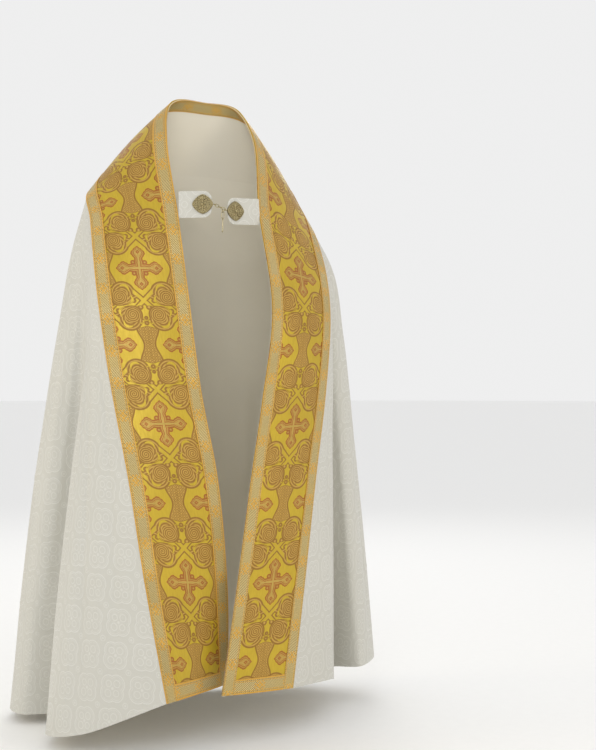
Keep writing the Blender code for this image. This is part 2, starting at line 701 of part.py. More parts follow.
def build_chain(right_point, left_point):
    """Rings on the plates, three links between them and the hanging tail."""
    along = (left_point - right_point).normalized()
    ring_reach = RING_RADIUS + LINK_WIRE + WIRE_CLEARANCE
    first = right_point + along * ring_reach
    last = left_point - along * ring_reach
    span = (last - first).length
    inner_ring = RING_RADIUS - LINK_WIRE
    slack = 2 * WIRE_CLEARANCE
    half_inner = (span - 2 * inner_ring + 4 * slack) / 6
    half_length = half_inner + LINK_WIRE
    turn = Matrix.Rotation(math.pi / 2, 4, "X")
    for name, centre in (("clasp_ring_right", first), ("clasp_ring_left", last)):
        wire(name, ring(RING_RADIUS), LINK_WIRE, place_frame(centre, along) @ turn, "brass")
    pitch = 2 * half_inner - slack
    start = inner_ring + half_inner - slack
    for number in range(3):
        centre = first + along * (start + pitch * number)
        frame = place_frame(centre, along)
        if number == 1:
            frame = frame @ turn
        wire(f"chain_link_{number + 1}", oval(half_length, LINK_HALF_WIDTH), LINK_WIRE, frame, "brass")
    last_link = place_frame(first + along * (start + 2 * pitch), along)
    level_frame = place_frame(first, (along.x, along.y, 0.0))
    build_tail(level_frame, last_link @ Vector((0.0, -LINK_HALF_WIDTH, 0.0)))


def build_tail(frame, pivot):
    """Ring, oval link and pin that hang from the middle link, each hinged on the wire above it."""
    axes = frame.to_3x3().to_4x4()
    down = -frame.to_3x3().col[1]
    drop = 2 * LINK_WIRE + WIRE_CLEARANCE
    ring_frame = Matrix.Translation(pivot) @ axes @ Matrix.Rotation(math.pi / 2, 4, "Y")
    ring_down = TAIL_RING_RADIUS - drop
    path = [(x, y - ring_down, z) for x, y, z in ring(TAIL_RING_RADIUS)]
    wire("tail_ring", path, LINK_WIRE, ring_frame, "brass")
    link_pivot = pivot + down * (ring_down + TAIL_RING_RADIUS)
    link_down = TAIL_LINK_HALF_LENGTH - drop
    path = [(y, x - link_down, z) for x, y, z in oval(TAIL_LINK_HALF_LENGTH, LINK_HALF_WIDTH)]
    wire("tail_link", path, LINK_WIRE, Matrix.Translation(link_pivot) @ axes, "brass")
    pin_pivot = link_pivot + down * (link_down + TAIL_LINK_HALF_LENGTH)
    wire("tail_pin", pin_path(drop), LINK_WIRE,
         Matrix.Translation(pin_pivot) @ axes @ Matrix.Rotation(math.pi / 2, 4, "Y"), "brass", closed=False)


def pin_path(drop):
    """A pin that hangs from an eye and ends in a small hook."""
    centre = -(PIN_EYE_RADIUS - drop)
    path = []
    for i in range(12):
        angle = math.radians(-62 + 310 * i / 11)
        path.append((PIN_EYE_RADIUS * math.sin(angle), centre + PIN_EYE_RADIUS * math.cos(angle + math.pi), 0.0))
    path = [(x, y, z) for x, y, z in reversed(path)]
    path.append((0.0, centre - PIN_EYE_RADIUS - 0.0022, 0.0))
    foot = centre - PIN_EYE_RADIUS - PIN_LENGTH
    path.append((0.0, foot, 0.0))
    for i in range(1, 7):
        angle = math.radians(30 * i)
        path.append((PIN_HOOK_RADIUS * (1 - math.cos(angle)), foot - PIN_HOOK_RADIUS * math.sin(angle), 0.0))
    return path


def main():
    """Build every piece of the cope."""
    for obj in list(bpy.data.objects):
        bpy.data.objects.remove(obj)
    bpy.context.scene.collection.children.link(bpy.data.collections.new(OBJECT_NAME))
    body, body_out, band, band_out = cloth_layout()
    build_cloak(body, body_out)
    build_band(band, band_out)
    build_hood(body, band)
    right_point = build_tab("right", RIGHT_TAB_ROOT, RIGHT_TAB_END)
    left_point = build_tab("left", LEFT_TAB_ROOT, LEFT_TAB_END)
    build_chain(right_point, left_point)


main()
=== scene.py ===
"""Looks of the cope vestment: cloak, orphrey bands, galloon, hood with its picture, fringe and morse.

Sizes are in metres. +X runs to the wearer's left, the wearer faces -Y, and +Z is up.
"""
from __future__ import annotations

import json
import logging
import math
from dataclasses import dataclass
from enum import Enum
from functools import reduce
from typing import Any, NamedTuple, Sequence

import bmesh
import bpy
import numpy as np
from mathutils import Matrix, Vector

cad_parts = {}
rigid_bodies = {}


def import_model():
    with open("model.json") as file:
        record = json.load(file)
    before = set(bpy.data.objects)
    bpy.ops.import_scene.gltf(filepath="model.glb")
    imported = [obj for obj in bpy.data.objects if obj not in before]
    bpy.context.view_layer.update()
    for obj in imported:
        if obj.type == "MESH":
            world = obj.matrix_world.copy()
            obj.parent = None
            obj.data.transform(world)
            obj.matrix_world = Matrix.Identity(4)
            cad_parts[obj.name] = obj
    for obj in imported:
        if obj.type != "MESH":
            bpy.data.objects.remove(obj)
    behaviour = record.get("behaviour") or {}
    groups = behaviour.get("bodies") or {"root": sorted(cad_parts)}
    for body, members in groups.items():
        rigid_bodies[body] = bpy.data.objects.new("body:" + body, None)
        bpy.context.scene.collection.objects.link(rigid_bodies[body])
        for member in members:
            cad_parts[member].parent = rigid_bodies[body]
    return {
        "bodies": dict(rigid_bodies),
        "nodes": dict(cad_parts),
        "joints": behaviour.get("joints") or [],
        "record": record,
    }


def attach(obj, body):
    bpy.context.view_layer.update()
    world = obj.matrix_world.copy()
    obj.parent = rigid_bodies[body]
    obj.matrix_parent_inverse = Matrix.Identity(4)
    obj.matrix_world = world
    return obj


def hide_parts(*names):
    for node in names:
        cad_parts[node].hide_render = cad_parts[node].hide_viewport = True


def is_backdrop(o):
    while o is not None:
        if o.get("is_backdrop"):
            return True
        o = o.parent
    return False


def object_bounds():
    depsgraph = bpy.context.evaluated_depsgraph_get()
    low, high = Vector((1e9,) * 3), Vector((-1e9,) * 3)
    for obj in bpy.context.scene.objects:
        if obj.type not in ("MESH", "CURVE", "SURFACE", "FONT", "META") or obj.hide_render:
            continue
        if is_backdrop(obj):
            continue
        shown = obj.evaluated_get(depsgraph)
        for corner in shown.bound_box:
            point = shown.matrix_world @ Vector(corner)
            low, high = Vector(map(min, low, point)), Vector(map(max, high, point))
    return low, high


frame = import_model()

LOG = logging.getLogger("cope")

# Cloth walls and the gaps kept between layers, as in the CAD model.
CLOTH = 0.0020
LINING = 0.0010
GALLOON = 0.0010
SEAM_GAP = 0.0003
GALLOON_WIDTH = 0.031
BAND_WIDTH = 0.20

# The body that the cloth and everything added to it rides on.
COPE_BODY = "cope"
# Edges that turn by more than this stay sharp.
SHARP_ANGLE = math.radians(48)


class Side(Enum):
    """The wearer's right and left."""

    RIGHT = "right"
    LEFT = "left"


# ---------------------------------------------------------------- drape tables

class Station(NamedTuple):
    """One place along the band: its inner edge, its outer edge and its outward bow."""

    inner: tuple[float, float, float]
    outer: tuple[float, float, float]
    bow: float


BAND = (
    Station((-0.007, -0.143, -1.273), (-0.181, -0.262, -1.279), 0.004),
    Station((-0.018, -0.175, -1.030), (-0.226, -0.236, -1.007), 0.006),
    Station((-0.047, -0.200, -0.790), (-0.254, -0.203, -0.790), 0.008),
    Station((-0.083, -0.190, -0.590), (-0.286, -0.172, -0.590), 0.010),
    Station((-0.109, -0.170, -0.360), (-0.311, -0.120, -0.360), 0.012),
    Station((-0.122, -0.125, -0.178), (-0.311, -0.035, -0.190), 0.016),
    Station((-0.126, -0.030, 0.010), (-0.302, 0.040, -0.110), 0.022),
    Station((-0.106, 0.040, 0.108), (-0.237, 0.115, -0.072), 0.018),
    Station((0.000, 0.075, 0.129), (0.000, 0.150, -0.045), 0.006),
    Station((0.078, 0.048, 0.104), (0.222, 0.108, -0.088), 0.010),
    Station((0.096, -0.008, 0.030), (0.248, 0.030, -0.160), 0.006),
    Station((0.078, -0.110, -0.150), (0.260, -0.040, -0.245), 0.008),
    Station((0.088, -0.188, -0.390), (0.263, -0.100, -0.395), 0.010),
    Station((0.057, -0.210, -0.610), (0.241, -0.127, -0.600), 0.008),
    Station((0.028, -0.216, -0.790), (0.210, -0.148, -0.790), 0.008),
    Station((-0.005, -0.217, -1.030), (0.176, -0.169, -1.025), 0.006),
    Station((-0.041, -0.212, -1.284), (0.138, -0.190, -1.284), 0.004),
)
RIGHT_SHOULDER = 5
CENTRE_BACK = 8
LEFT_SHOULDER = 11
EDGE_READINGS = 1500


class Turn(NamedTuple):
    """One fall of the cloak's side: the ridge, valley, lobe and side that it passes."""

    fall: float
    ridge: tuple[float, float]
    valley: tuple[float, float]
    lobe: tuple[float, float]
    side: tuple[float, float]


RIGHT_TURNS = (
    Turn(0.10, (-0.316, -0.040), (-0.322, -0.005), (-0.330, 0.028), (-0.336, 0.060)),
    Turn(0.25, (-0.322, -0.062), (-0.318, 0.012), (-0.350, 0.046), (-0.366, 0.092)),
    Turn(0.50, (-0.360, -0.074), (-0.324, 0.044), (-0.387, 0.070), (-0.409, 0.130)),
    Turn(0.75, (-0.396, -0.084), (-0.344, 0.062), (-0.422, 0.092), (-0.443, 0.152)),
    Turn(1.00, (-0.423, -0.092), (-0.362, 0.082), (-0.449, 0.115), (-0.471, 0.178)),
)
LEFT_TURNS = (
    Turn(0.10, (0.272, -0.030), (0.280, 0.000), (0.304, 0.022), (0.324, 0.056)),
    Turn(0.25, (0.280, -0.040), (0.292, 0.032), (0.332, 0.040), (0.368, 0.084)),
    Turn(0.50, (0.290, -0.012), (0.312, 0.072), (0.363, 0.050), (0.410, 0.112)),
    Turn(0.75, (0.304, 0.018), (0.332, 0.104), (0.386, 0.056), (0.448, 0.134)),
    Turn(1.00, (0.320, 0.044), (0.350, 0.132), (0.406, 0.060), (0.484, 0.160)),
)
BACK_FALL = (0.10, 0.25, 0.50, 0.75, 1.00)
BACK_DEPTH = (0.172, 0.204, 0.252, 0.296, 0.335)
PLACE_AT = (0.0, 0.075, 0.130, 0.178, 0.222, 0.268, 0.350, 0.430)
RIGHT_HEM = (-1.279, -1.350, -1.368, -1.372, -1.372, -1.372, -1.375, -1.380)
LEFT_HEM = (-1.284, -1.300, -1.325, -1.318, -1.305, -1.303, -1.330, -1.365)
BACK_HEM = -1.384
PANEL_SHARE = 0.62
PANEL_BOW = 0.13
TURN_ANGLE = math.radians(38)
BACK_ANGLE = math.radians(66)


class Fold(NamedTuple):
    """A soft fold down the cloak: place round it, half width, depth at the hem, starting fall."""

    at: float
    half_width: float
    depth: float
    start: float


FOLDS = (
    Fold(0.315, 0.030, 0.020, 0.36),
    Fold(0.395, 0.034, -0.024, 0.36),
    Fold(0.455, 0.026, 0.014, 0.40),
    Fold(0.530, 0.030, -0.022, 0.36),
    Fold(0.595, 0.032, 0.018, 0.38),
    Fold(0.665, 0.030, -0.020, 0.36),
    Fold(0.050, 0.026, -0.006, 0.35),
)


class Crease(NamedTuple):
    """A small trough or ridge: where it is, its half width and half length, depth and slant."""

    at: float
    fall: float
    half_width: float
    half_length: float
    depth: float
    slant: float


CREASES = (
    Crease(0.030, 0.58, 0.0060, 0.26, -0.0022, 0.02), Crease(0.052, 0.74, 0.0070, 0.20, 0.0024, 0.03),
    Crease(0.074, 0.64, 0.0060, 0.30, -0.0026, 0.02), Crease(0.094, 0.80, 0.0055, 0.18, 0.0022, 0.01),
    Crease(0.112, 0.55, 0.0050, 0.30, -0.0020, 0.02), Crease(0.090, 0.36, 0.0050, 0.14, 0.0022, 0.05),
    Crease(0.160, 0.70, 0.0060, 0.24, -0.0030, 0.01), Crease(0.205, 0.50, 0.0070, 0.30, 0.0028, 0.02),
    Crease(0.245, 0.30, 0.0060, 0.20, -0.0026, 0.03), Crease(0.262, 0.66, 0.0060, 0.22, 0.0024, 0.01),
    Crease(0.290, 0.48, 0.0080, 0.30, -0.0034, 0.02), Crease(0.340, 0.72, 0.0070, 0.22, 0.0030, 0.01),
    Crease(0.368, 0.58, 0.0060, 0.20, -0.0026, 0.01), Crease(0.420, 0.80, 0.0060, 0.17, 0.0026, 0.00),
    Crease(0.470, 0.62, 0.0050, 0.22, -0.0020, 0.00), Crease(0.508, 0.78, 0.0060, 0.18, 0.0020, 0.00),
    Crease(0.560, 0.64, 0.0070, 0.24, -0.0028, -0.01), Crease(0.620, 0.76, 0.0060, 0.20, 0.0026, -0.01),
    Crease(0.648, 0.52, 0.0070, 0.22, -0.0028, -0.01), Crease(0.700, 0.60, 0.0070, 0.28, 0.0032, -0.02),
    Crease(0.735, 0.38, 0.0060, 0.22, -0.0026, -0.02), Crease(0.752, 0.74, 0.0060, 0.20, -0.0024, -0.01),
    Crease(0.790, 0.62, 0.0060, 0.26, 0.0028, -0.01), Crease(0.838, 0.70, 0.0055, 0.22, -0.0026, 0.00),
    Crease(0.905, 0.66, 0.0060, 0.24, 0.0022, -0.01), Crease(0.950, 0.52, 0.0055, 0.22, -0.0020, -0.01),
    Crease(0.230, 0.12, 0.0090, 0.09, 0.0030, 0.10), Crease(0.765, 0.12, 0.0090, 0.09, -0.0030, -0.10),
)
# Level press creases left by the way the cloak was folded away: fall and depth.
PRESS_CREASES = ((0.545, 0.0009), (0.790, 0.0008))
PRESS_HALF_WIDTH = 0.004
PRESS_WANDER = 0.006
PRESS_WAVES = 23
CREASE_STRENGTH = 1.5
# How far from the band's edge and from the top the creases have faded out.
EDGE_FADE = 0.02
TOP_FADE = 0.04
FOLD_EASE = 1.3
# Slow ripples along the band.
RIPPLE = 0.0011
RIPPLE_WAVES = 17
RIPPLE_SHIFT_WAVES = 7.3
RIPPLE_SHIFT = 1.2


def smooth(knots: Any, points: Any, at: Any) -> np.ndarray:
    """Read a smooth curve through points.

    Args:
        knots: Rising places of the points.
        points: One row per knot.
        at: Places to read.

    Returns:
        One row per place.
    """
    knots = np.asarray(knots, float)
    points = np.asarray(points, float)
    slope = np.gradient(points, knots, axis=0)
    at = np.clip(np.asarray(at, float), knots[0], knots[-1])
    i = np.clip(np.searchsorted(knots, at, side="right") - 1, 0, len(knots) - 2)
    step = knots[i + 1] - knots[i]
    s = (at - knots[i]) / step
    shape = s.shape + (1,) * (points.ndim - 1)
    s = s.reshape(shape)
    step = step.reshape(shape)
    start = points[i] * (1 + 2 * s) * (1 - s) ** 2 + slope[i] * step * s * (1 - s) ** 2
    return start + points[i + 1] * s * s * (3 - 2 * s) + slope[i + 1] * step * s * s * (s - 1)


def unit(vectors: np.ndarray) -> np.ndarray:
    """Scale every vector to length one."""
    return vectors / np.maximum(np.linalg.norm(vectors, axis=-1, keepdims=True), 1e-12)


def run_lengths(points: np.ndarray, axis: int) -> np.ndarray:
    """Distance covered along one axis of a grid of points, starting at nought."""
    steps = np.linalg.norm(np.diff(points, axis=axis), axis=-1)
    total = np.cumsum(steps, axis=axis)
    pad = [(0, 0), (0, 0)]
    pad[axis] = (1, 0)
    return np.pad(total, pad)


@dataclass
class Drape:
    """The worn shape of the cope, read at any fineness."""

    inner: np.ndarray
    outer: np.ndarray
    bow: np.ndarray
    knots: np.ndarray

    @classmethod
    def from_stations(cls, stations: Sequence[Station]) -> "Drape":
        """Set the drape up from its table of stations."""
        inner = np.array([row.inner for row in stations])
        outer = np.array([row.outer for row in stations])
        middle = (inner + outer) / 2
        knots = np.concatenate([[0.0], np.cumsum(np.linalg.norm(np.diff(middle, axis=0), axis=1))])
        return cls(inner, outer, np.array([row.bow for row in stations]), knots)

    def outer_edge(self, t: Any) -> np.ndarray:
        """Points on the band's outer edge."""
        return smooth(self.knots, self.outer, t)

    def edge_lookup(self, height: Any, first: int, last: int) -> np.ndarray:
        """Places along the outer edge, between two stations, at the given heights."""
        t = np.linspace(self.knots[first], self.knots[last], EDGE_READINGS)
        z = self.outer_edge(t)[:, 2]
        order = np.argsort(z)
        return np.interp(height, z[order], t[order])

    def top_place(self, u: Any) -> np.ndarray:
        """Places along the band's outer edge that meet the top of the cloak at u."""
        knots = (0.0, PLACE_AT[5], 0.5, 1 - PLACE_AT[5], 1.0)
        stations = [RIGHT_SHOULDER, RIGHT_SHOULDER + 1, CENTRE_BACK, LEFT_SHOULDER - 1, LEFT_SHOULDER]
        return smooth(knots, self.knots[stations], u)

    @staticmethod
    def turns(table: Sequence[Turn], fall: float, edge: np.ndarray, back: float) -> list[np.ndarray]:
        """Level places on one side at one fall, from the band's edge round to the back."""
        falls = [row.fall for row in table]
        ridge, valley, lobe, side = (smooth(falls, [getattr(row, name) for row in table], fall)
                                     for name in ("ridge", "valley", "lobe", "side"))
        across = ridge - edge
        outwards = np.array([across[1], -across[0]])
        if outwards @ edge < 0:
            outwards = -outwards
        panel = edge + across * PANEL_SHARE + outwards * PANEL_BOW
        rest = [side * (math.cos(angle), 1) + (0.0, (back - side[1]) * math.sin(angle))
                for angle in (TURN_ANGLE, BACK_ANGLE)]
        return [edge, panel, ridge, valley, lobe, side] + rest

    def cloak(self, u: np.ndarray, v: np.ndarray) -> np.ndarray:
        """Outer face of the cloak.

        Args:
            u: Places round it, right band to left band.
            v: Falls down it, band to hem.

        Returns:
            A grid of points, falls by places.
        """
        knots = np.array(list(PLACE_AT) + [0.5] + [1 - place for place in reversed(PLACE_AT)])
        hem = np.array(list(RIGHT_HEM) + [BACK_HEM] + list(reversed(LEFT_HEM)))
        top = self.outer_edge(self.top_place(knots))
        rings = [top]
        for fall in BACK_FALL:
            heights = top[:, 2] + (hem - top[:, 2]) * fall
            right = self.outer_edge(self.edge_lookup(heights[0], 0, RIGHT_SHOULDER))
            left = self.outer_edge(self.edge_lookup(heights[-1], LEFT_SHOULDER, len(BAND) - 1))
            back = float(np.interp(fall, BACK_FALL, BACK_DEPTH))
            flat = self.turns(RIGHT_TURNS, fall, right[:2], back) + [np.array([0.0, back])]
            flat += list(reversed(self.turns(LEFT_TURNS, fall, left[:2], back)))
            rings.append(np.column_stack([np.array(flat), heights]))
        rows = smooth([0.0] + list(BACK_FALL), np.array(rings), v)
        grid = smooth(knots, rows.transpose(1, 0, 2), u).transpose(1, 0, 2)
        fade = (1 - v)[:, None, None] ** 3
        grid = grid + fade * (self.outer_edge(self.top_place(u)) - smooth(knots, top, u))[None]
        grid = self.folded(grid, u, v)
        if u[0] <= 0.0:
            grid[:, 0] = self.outer_edge(self.edge_lookup(grid[:, 0, 2], 0, RIGHT_SHOULDER))
        if u[-1] >= 1.0:
            grid[:, -1] = self.outer_edge(self.edge_lookup(grid[:, -1, 2], LEFT_SHOULDER, len(BAND) - 1))
        grid[0] = self.outer_edge(self.top_place(u))
        return grid

    @staticmethod
    def folded(grid: np.ndarray, u: np.ndarray, v: np.ndarray) -> np.ndarray:
        """Push the cloak in and out along its folds, creases and press creases."""
        along = np.gradient(grid[:, :, :2], axis=1)
        outwards = unit(np.stack([-along[:, :, 1], along[:, :, 0]], axis=-1))
        push = np.zeros(grid.shape[:2])
        for fold in FOLDS:
            across = np.exp(-((u - fold.at) / fold.half_width) ** 2)
            down = np.clip((v - fold.start) / (1 - fold.start), 0, 1) ** FOLD_EASE
            push += fold.depth * down[:, None] * across[None]
        place, fall = np.meshgrid(u, v)
        edge_fade = np.clip(np.minimum(place, 1 - place) / EDGE_FADE, 0, 1) * np.clip(fall / TOP_FADE, 0, 1)
        for crease in CREASES:
            centre = crease.at + crease.slant * (fall - crease.fall)
            across = (place - centre) / crease.half_width
            along_it = (fall - crease.fall) / crease.half_length
            push += CREASE_STRENGTH * crease.depth * np.exp(-across ** 2 - along_it ** 4) * edge_fade
        for level, depth in PRESS_CREASES:
            wander = level + PRESS_WANDER * np.sin(place * PRESS_WAVES)
            push += depth * np.exp(-((fall - wander) / PRESS_HALF_WIDTH) ** 2) * edge_fade
        grid[:, :, :2] += outwards * push[:, :, None]
        return grid

    def band(self, t: np.ndarray, across: np.ndarray) -> np.ndarray:
        """Outer face of the band: rows t along it, columns from inner edge (0) to outer edge (1)."""
        inner = smooth(self.knots, self.inner, t)
        outer = self.outer_edge(t)
        along = unit(np.gradient((inner + outer) / 2, axis=0))
        outwards = unit(np.cross(along, outer - inner))
        bow = smooth(self.knots, self.bow, t)
        share = np.asarray(across)[None, :, None]
        ripple = RIPPLE * np.sin(t * RIPPLE_WAVES + RIPPLE_SHIFT * np.sin(t * RIPPLE_SHIFT_WAVES))
        lift = 4 * share * (1 - share) * (bow + ripple)[:, None, None]
        return inner[:, None] * (1 - share) + outer[:, None] * share + outwards[:, None] * lift


def grid_normals(grid: np.ndarray) -> np.ndarray:
    """Unit normals of a grid of points, from its two directions."""
    return unit(np.cross(np.gradient(grid, axis=0), np.gradient(grid, axis=1)))


# ---------------------------------------------------------------- shader maths

class Value:
    """A number socket in a material, with operators that add Math nodes."""

    def __init__(self, tree: Any, socket: Any) -> None:
        """Wrap a socket of a node tree."""
        self.tree = tree
        self.socket = socket

    def apply(self, operation: str, *others: Any) -> "Value":
        """Add one Math node that takes this value and others."""
        node = self.tree.nodes.new("ShaderNodeMath")
        node.operation = operation
        for slot, item in zip(node.inputs, (self, *others)):
            plug(self.tree, item, slot)
        return Value(self.tree, node.outputs[0])

    def __add__(self, other: Any) -> "Value":
        """Sum."""
        return self.apply("ADD", other)

    __radd__ = __add__

    def __mul__(self, other: Any) -> "Value":
        """Product."""
        return self.apply("MULTIPLY", other)

    __rmul__ = __mul__

    def __sub__(self, other: Any) -> "Value":
        """Difference."""
        return self.apply("SUBTRACT", other)

    def __rsub__(self, other: Any) -> "Value":
        """Difference from a number."""
        return (self * -1.0) + other

    def __truediv__(self, other: float) -> "Value":
        """Quotient by a number."""
        return self.apply("DIVIDE", other)

    def abs(self) -> "Value":
        """Size without sign."""
        return self.apply("ABSOLUTE")

    def sin(self) -> "Value":
        """Sine."""
        return self.apply("SINE")

    def cos(self) -> "Value":
        """Cosine."""
        return self.apply("COSINE")

    def sqrt(self) -> "Value":
        """Square root."""
        return self.apply("SQRT")

    def low(self, other: Any) -> "Value":
        """The lower of two."""
        return self.apply("MINIMUM", other)

    def high(self, other: Any) -> "Value":
        """The higher of two."""
        return self.apply("MAXIMUM", other)

    def fold(self, period: float) -> "Value":
        """Distance from the nearest whole multiple of a period."""
        return self.apply("PINGPONG", period / 2)

    def cell(self, period: float) -> "Value":
        """Number of the cell of a period that this lies in."""
        return (self / period).apply("FLOOR")

    def under(self, edge: float, soft: float) -> "Value":
        """One below an edge and nought above it, over a soft step."""
        return ((self - edge) / (-2.0 * soft) + 0.5).low(1.0).high(0.0)

    def over(self, edge: float, soft: float) -> "Value":
        """One above an edge and nought below it, over a soft step."""
        return 1.0 - self.under(edge, soft)

    def line(self, centre: float, half_width: float, soft: float) -> "Value":
        """One on a line round a value and nought away from it."""
        return (self - centre).abs().under(half_width, soft)


def plug(tree: Any, item: Any, slot: Any) -> None:
    """Link a value or a socket to an input, or set the input to a constant."""
    if isinstance(item, Value):
        item = item.socket
    if isinstance(item, bpy.types.NodeSocket):
        tree.links.new(item, slot)
    else:
        slot.default_value = item


def away(x: Value, y: Value, centre_x: float, centre_y: float) -> Value:
    """Distance from a place."""
    return ((x - centre_x).apply("POWER", 2.0) + (y - centre_y).apply("POWER", 2.0)).sqrt()


@dataclass
class Dyer:
    """Builds the node tree of one material."""

    material: Any

    @classmethod
    def start(cls, name: str) -> "Dyer":
        """Begin an empty material."""
        material = bpy.data.materials.new(name)
        material.use_nodes = True
        return cls(material)

    @property
    def tree(self) -> Any:
        """The material's node tree."""
        return self.material.node_tree

    def node(self, kind: str, settings: dict[str, Any] | None = None,
             sockets: dict[Any, Any] | None = None) -> Any:
        """Add any node.

        Args:
            kind: The node's type name.
            settings: Properties to set first; "stops" fills a colour ramp.
            sockets: Input values or links by name or number.

        Returns:
            The node.
        """
        made = self.tree.nodes.new(kind)
        for key, setting in (settings or {}).items():
            if key == "stops":
                ramp = made.color_ramp
                while len(ramp.elements) < len(setting):
                    ramp.elements.new(0.5)
                for element, (place, colour) in zip(ramp.elements, setting):
                    element.position = place
                    element.color = colour
            elif key == "interpolation":
                made.color_ramp.interpolation = setting
            else:
                setattr(made, key, setting)
        for key, item in (sockets or {}).items():
            plug(self.tree, item, made.inputs[key])
        return made

    def value(self, socket: Any) -> Value:
        """Wrap a socket as a number."""
        return Value(self.tree, socket)

    def flat_place(self) -> tuple[Value, Value]:
        """The cloth's own flat coordinates, from its UV map, in metres."""
        split = self.node("ShaderNodeSeparateXYZ", {}, {0: self.node("ShaderNodeUVMap").outputs[0]})
        return self.value(split.outputs[0]), self.value(split.outputs[1])

    def noise(self, scale: float, detail: float = 3.0, source: Any = None,
              stretch: Any = None) -> Value:
        """Fractal noise over the flat coordinates."""
        place = source or self.node("ShaderNodeUVMap").outputs[0]
        if stretch:
            place = self.node("ShaderNodeMapping", {}, {"Vector": place, "Scale": stretch}).outputs[0]
        made = self.node("ShaderNodeTexNoise", {}, {"Vector": place, "Scale": scale, "Detail": detail})
        return self.value(made.outputs[0])

    def object_noise(self, scale: float, detail: float = 3.0) -> Value:
        """Fractal noise over the object coordinates."""
        return self.noise(scale, detail, self.node("ShaderNodeTexCoord").outputs["Object"])

    def mix(self, factor: Value, dark: Any, light: Any) -> Any:
        """Blend two colours by a factor and return the colour socket."""
        colours = [(*item, 1.0) if isinstance(item, tuple) else item for item in (dark, light)]
        made = self.node("ShaderNodeMix", {"data_type": "RGBA"}, {0: factor, 6: colours[0], 7: colours[1]})
        return made.outputs[2]

    def bump(self, height: Value, distance: float, strength: float = 1.0) -> Any:
        """Turn a height into a normal socket."""
        made = self.node("ShaderNodeBump", {}, {"Height": height, "Distance": distance, "Strength": strength})
        return made.outputs[0]

    def finish(self, colour: Any, roughness: Any, metallic: Any = 0.0, normal: Any = None,
               **constants: float) -> Any:
        """Wire the shader's sockets and return the material."""
        shader = self.tree.nodes["Principled BSDF"]
        wired = {"Base Color": colour, "Roughness": roughness, "Metallic": metallic, "Normal": normal}
        for name, item in wired.items():
            if item is not None:
                plug(self.tree, (*item, 1.0) if isinstance(item, tuple) else item, shader.inputs[name])
        for name, number in constants.items():
            shader.inputs[name.replace("_", " ").title().replace("Ior", "IOR")].default_value = number
        return self.material


# ---------------------------------------------------------------- finishes

CM = 100.0


@dataclass(frozen=True)
class Damask:
    """Ivory damask with tone-on-tone quatrefoil medallions."""

    name: str = "ivory_damask"
    ground: tuple[float, float, float] = (0.560, 0.548, 0.492)
    figure: tuple[float, float, float] = (0.700, 0.690, 0.640)
    repeat_across: float = 9.6
    repeat_along: float = 11.6
    side_lobe: tuple[float, float] = (1.40, 1.85)
    end_lobe: tuple[float, float] = (1.65, 1.95)
    outlines: tuple[tuple[float, float, float, float], ...] = (
        (0.05, 0.11, 0.05, 1.0), (-0.34, 0.06, 0.05, 0.8), (-1.15, 0.10, 0.06, 0.9))

    def make(self) -> Any:
        """Build the material."""
        dyer = Dyer.start(self.name)
        x, y = (place * CM for place in dyer.flat_place())
        across, along = x.fold(self.repeat_across), y.fold(self.repeat_along)
        far_across, far_along = self.repeat_across / 2 - across, self.repeat_along / 2 - along
        distance = self.medallion(across, along).low(self.medallion(far_across, far_along))
        stipple = dyer.noise(95.0, 2.0).over(0.56, 0.03) * distance.under(0.0, 0.05)
        gap = away(across, along, self.repeat_across / 2, 0.0).low(
            away(across, along, 0.0, self.repeat_along / 2))
        blossom = gap.line(0.62, 0.09, 0.06).high(gap.under(0.26, 0.08))
        heart = away(across, along, 0.0, 0.0).low(away(far_across, far_along, 0.0, 0.0)).under(0.34, 0.08)
        figure = (blossom * 0.8).high(heart * 0.8).high(stipple * 0.15)
        for at, half_width, soft, strength in self.outlines:
            figure = figure.high(distance.line(at, half_width, soft) * strength)
        cloudy = dyer.noise(6.0, 2.0)
        colour = dyer.mix(figure * 0.62 + (cloudy - 0.5) * 0.4, self.ground, self.figure)
        rib = (y * 34.0).sin() * 0.5 + (x * 41.0).sin() * 0.3
        height = figure * 0.9 + rib * 0.22
        roughness = 0.56 - figure * 0.20
        return dyer.finish(colour, roughness, 0.0, dyer.bump(height, 0.00035), sheen_weight=0.12,
                           sheen_roughness=0.4, specular_ior_level=0.42)

    def medallion(self, x: Value, y: Value) -> Value:
        """Distance from the edge of a four-lobed medallion, in centimetres."""
        side_at, side_radius = self.side_lobe
        end_at, end_radius = self.end_lobe
        return (away(x, y, side_at, 0.0) - side_radius).low(away(x, y, 0.0, end_at) - end_radius)


@dataclass(frozen=True)
class Satin:
    """Plain cream lining satin."""

    name: str = "cream_lining"
    base: tuple[float, float, float] = (0.88, 0.83, 0.70)

    def make(self) -> Any:
        """Build the material."""
        dyer = Dyer.start(self.name)
        x, y = dyer.flat_place()
        weave = (x * 5200.0).sin() * 0.5 + (y * 3600.0).sin() * 0.4
        cloudy = dyer.noise(7.0, 3.0)
        colour = dyer.mix(cloudy, tuple(part * 0.92 for part in self.base), self.base)
        height = weave * 0.25 + cloudy
        return dyer.finish(colour, 0.42 + cloudy * 0.1, 0.0, dyer.bump(height, 0.0003), sheen_weight=0.15)


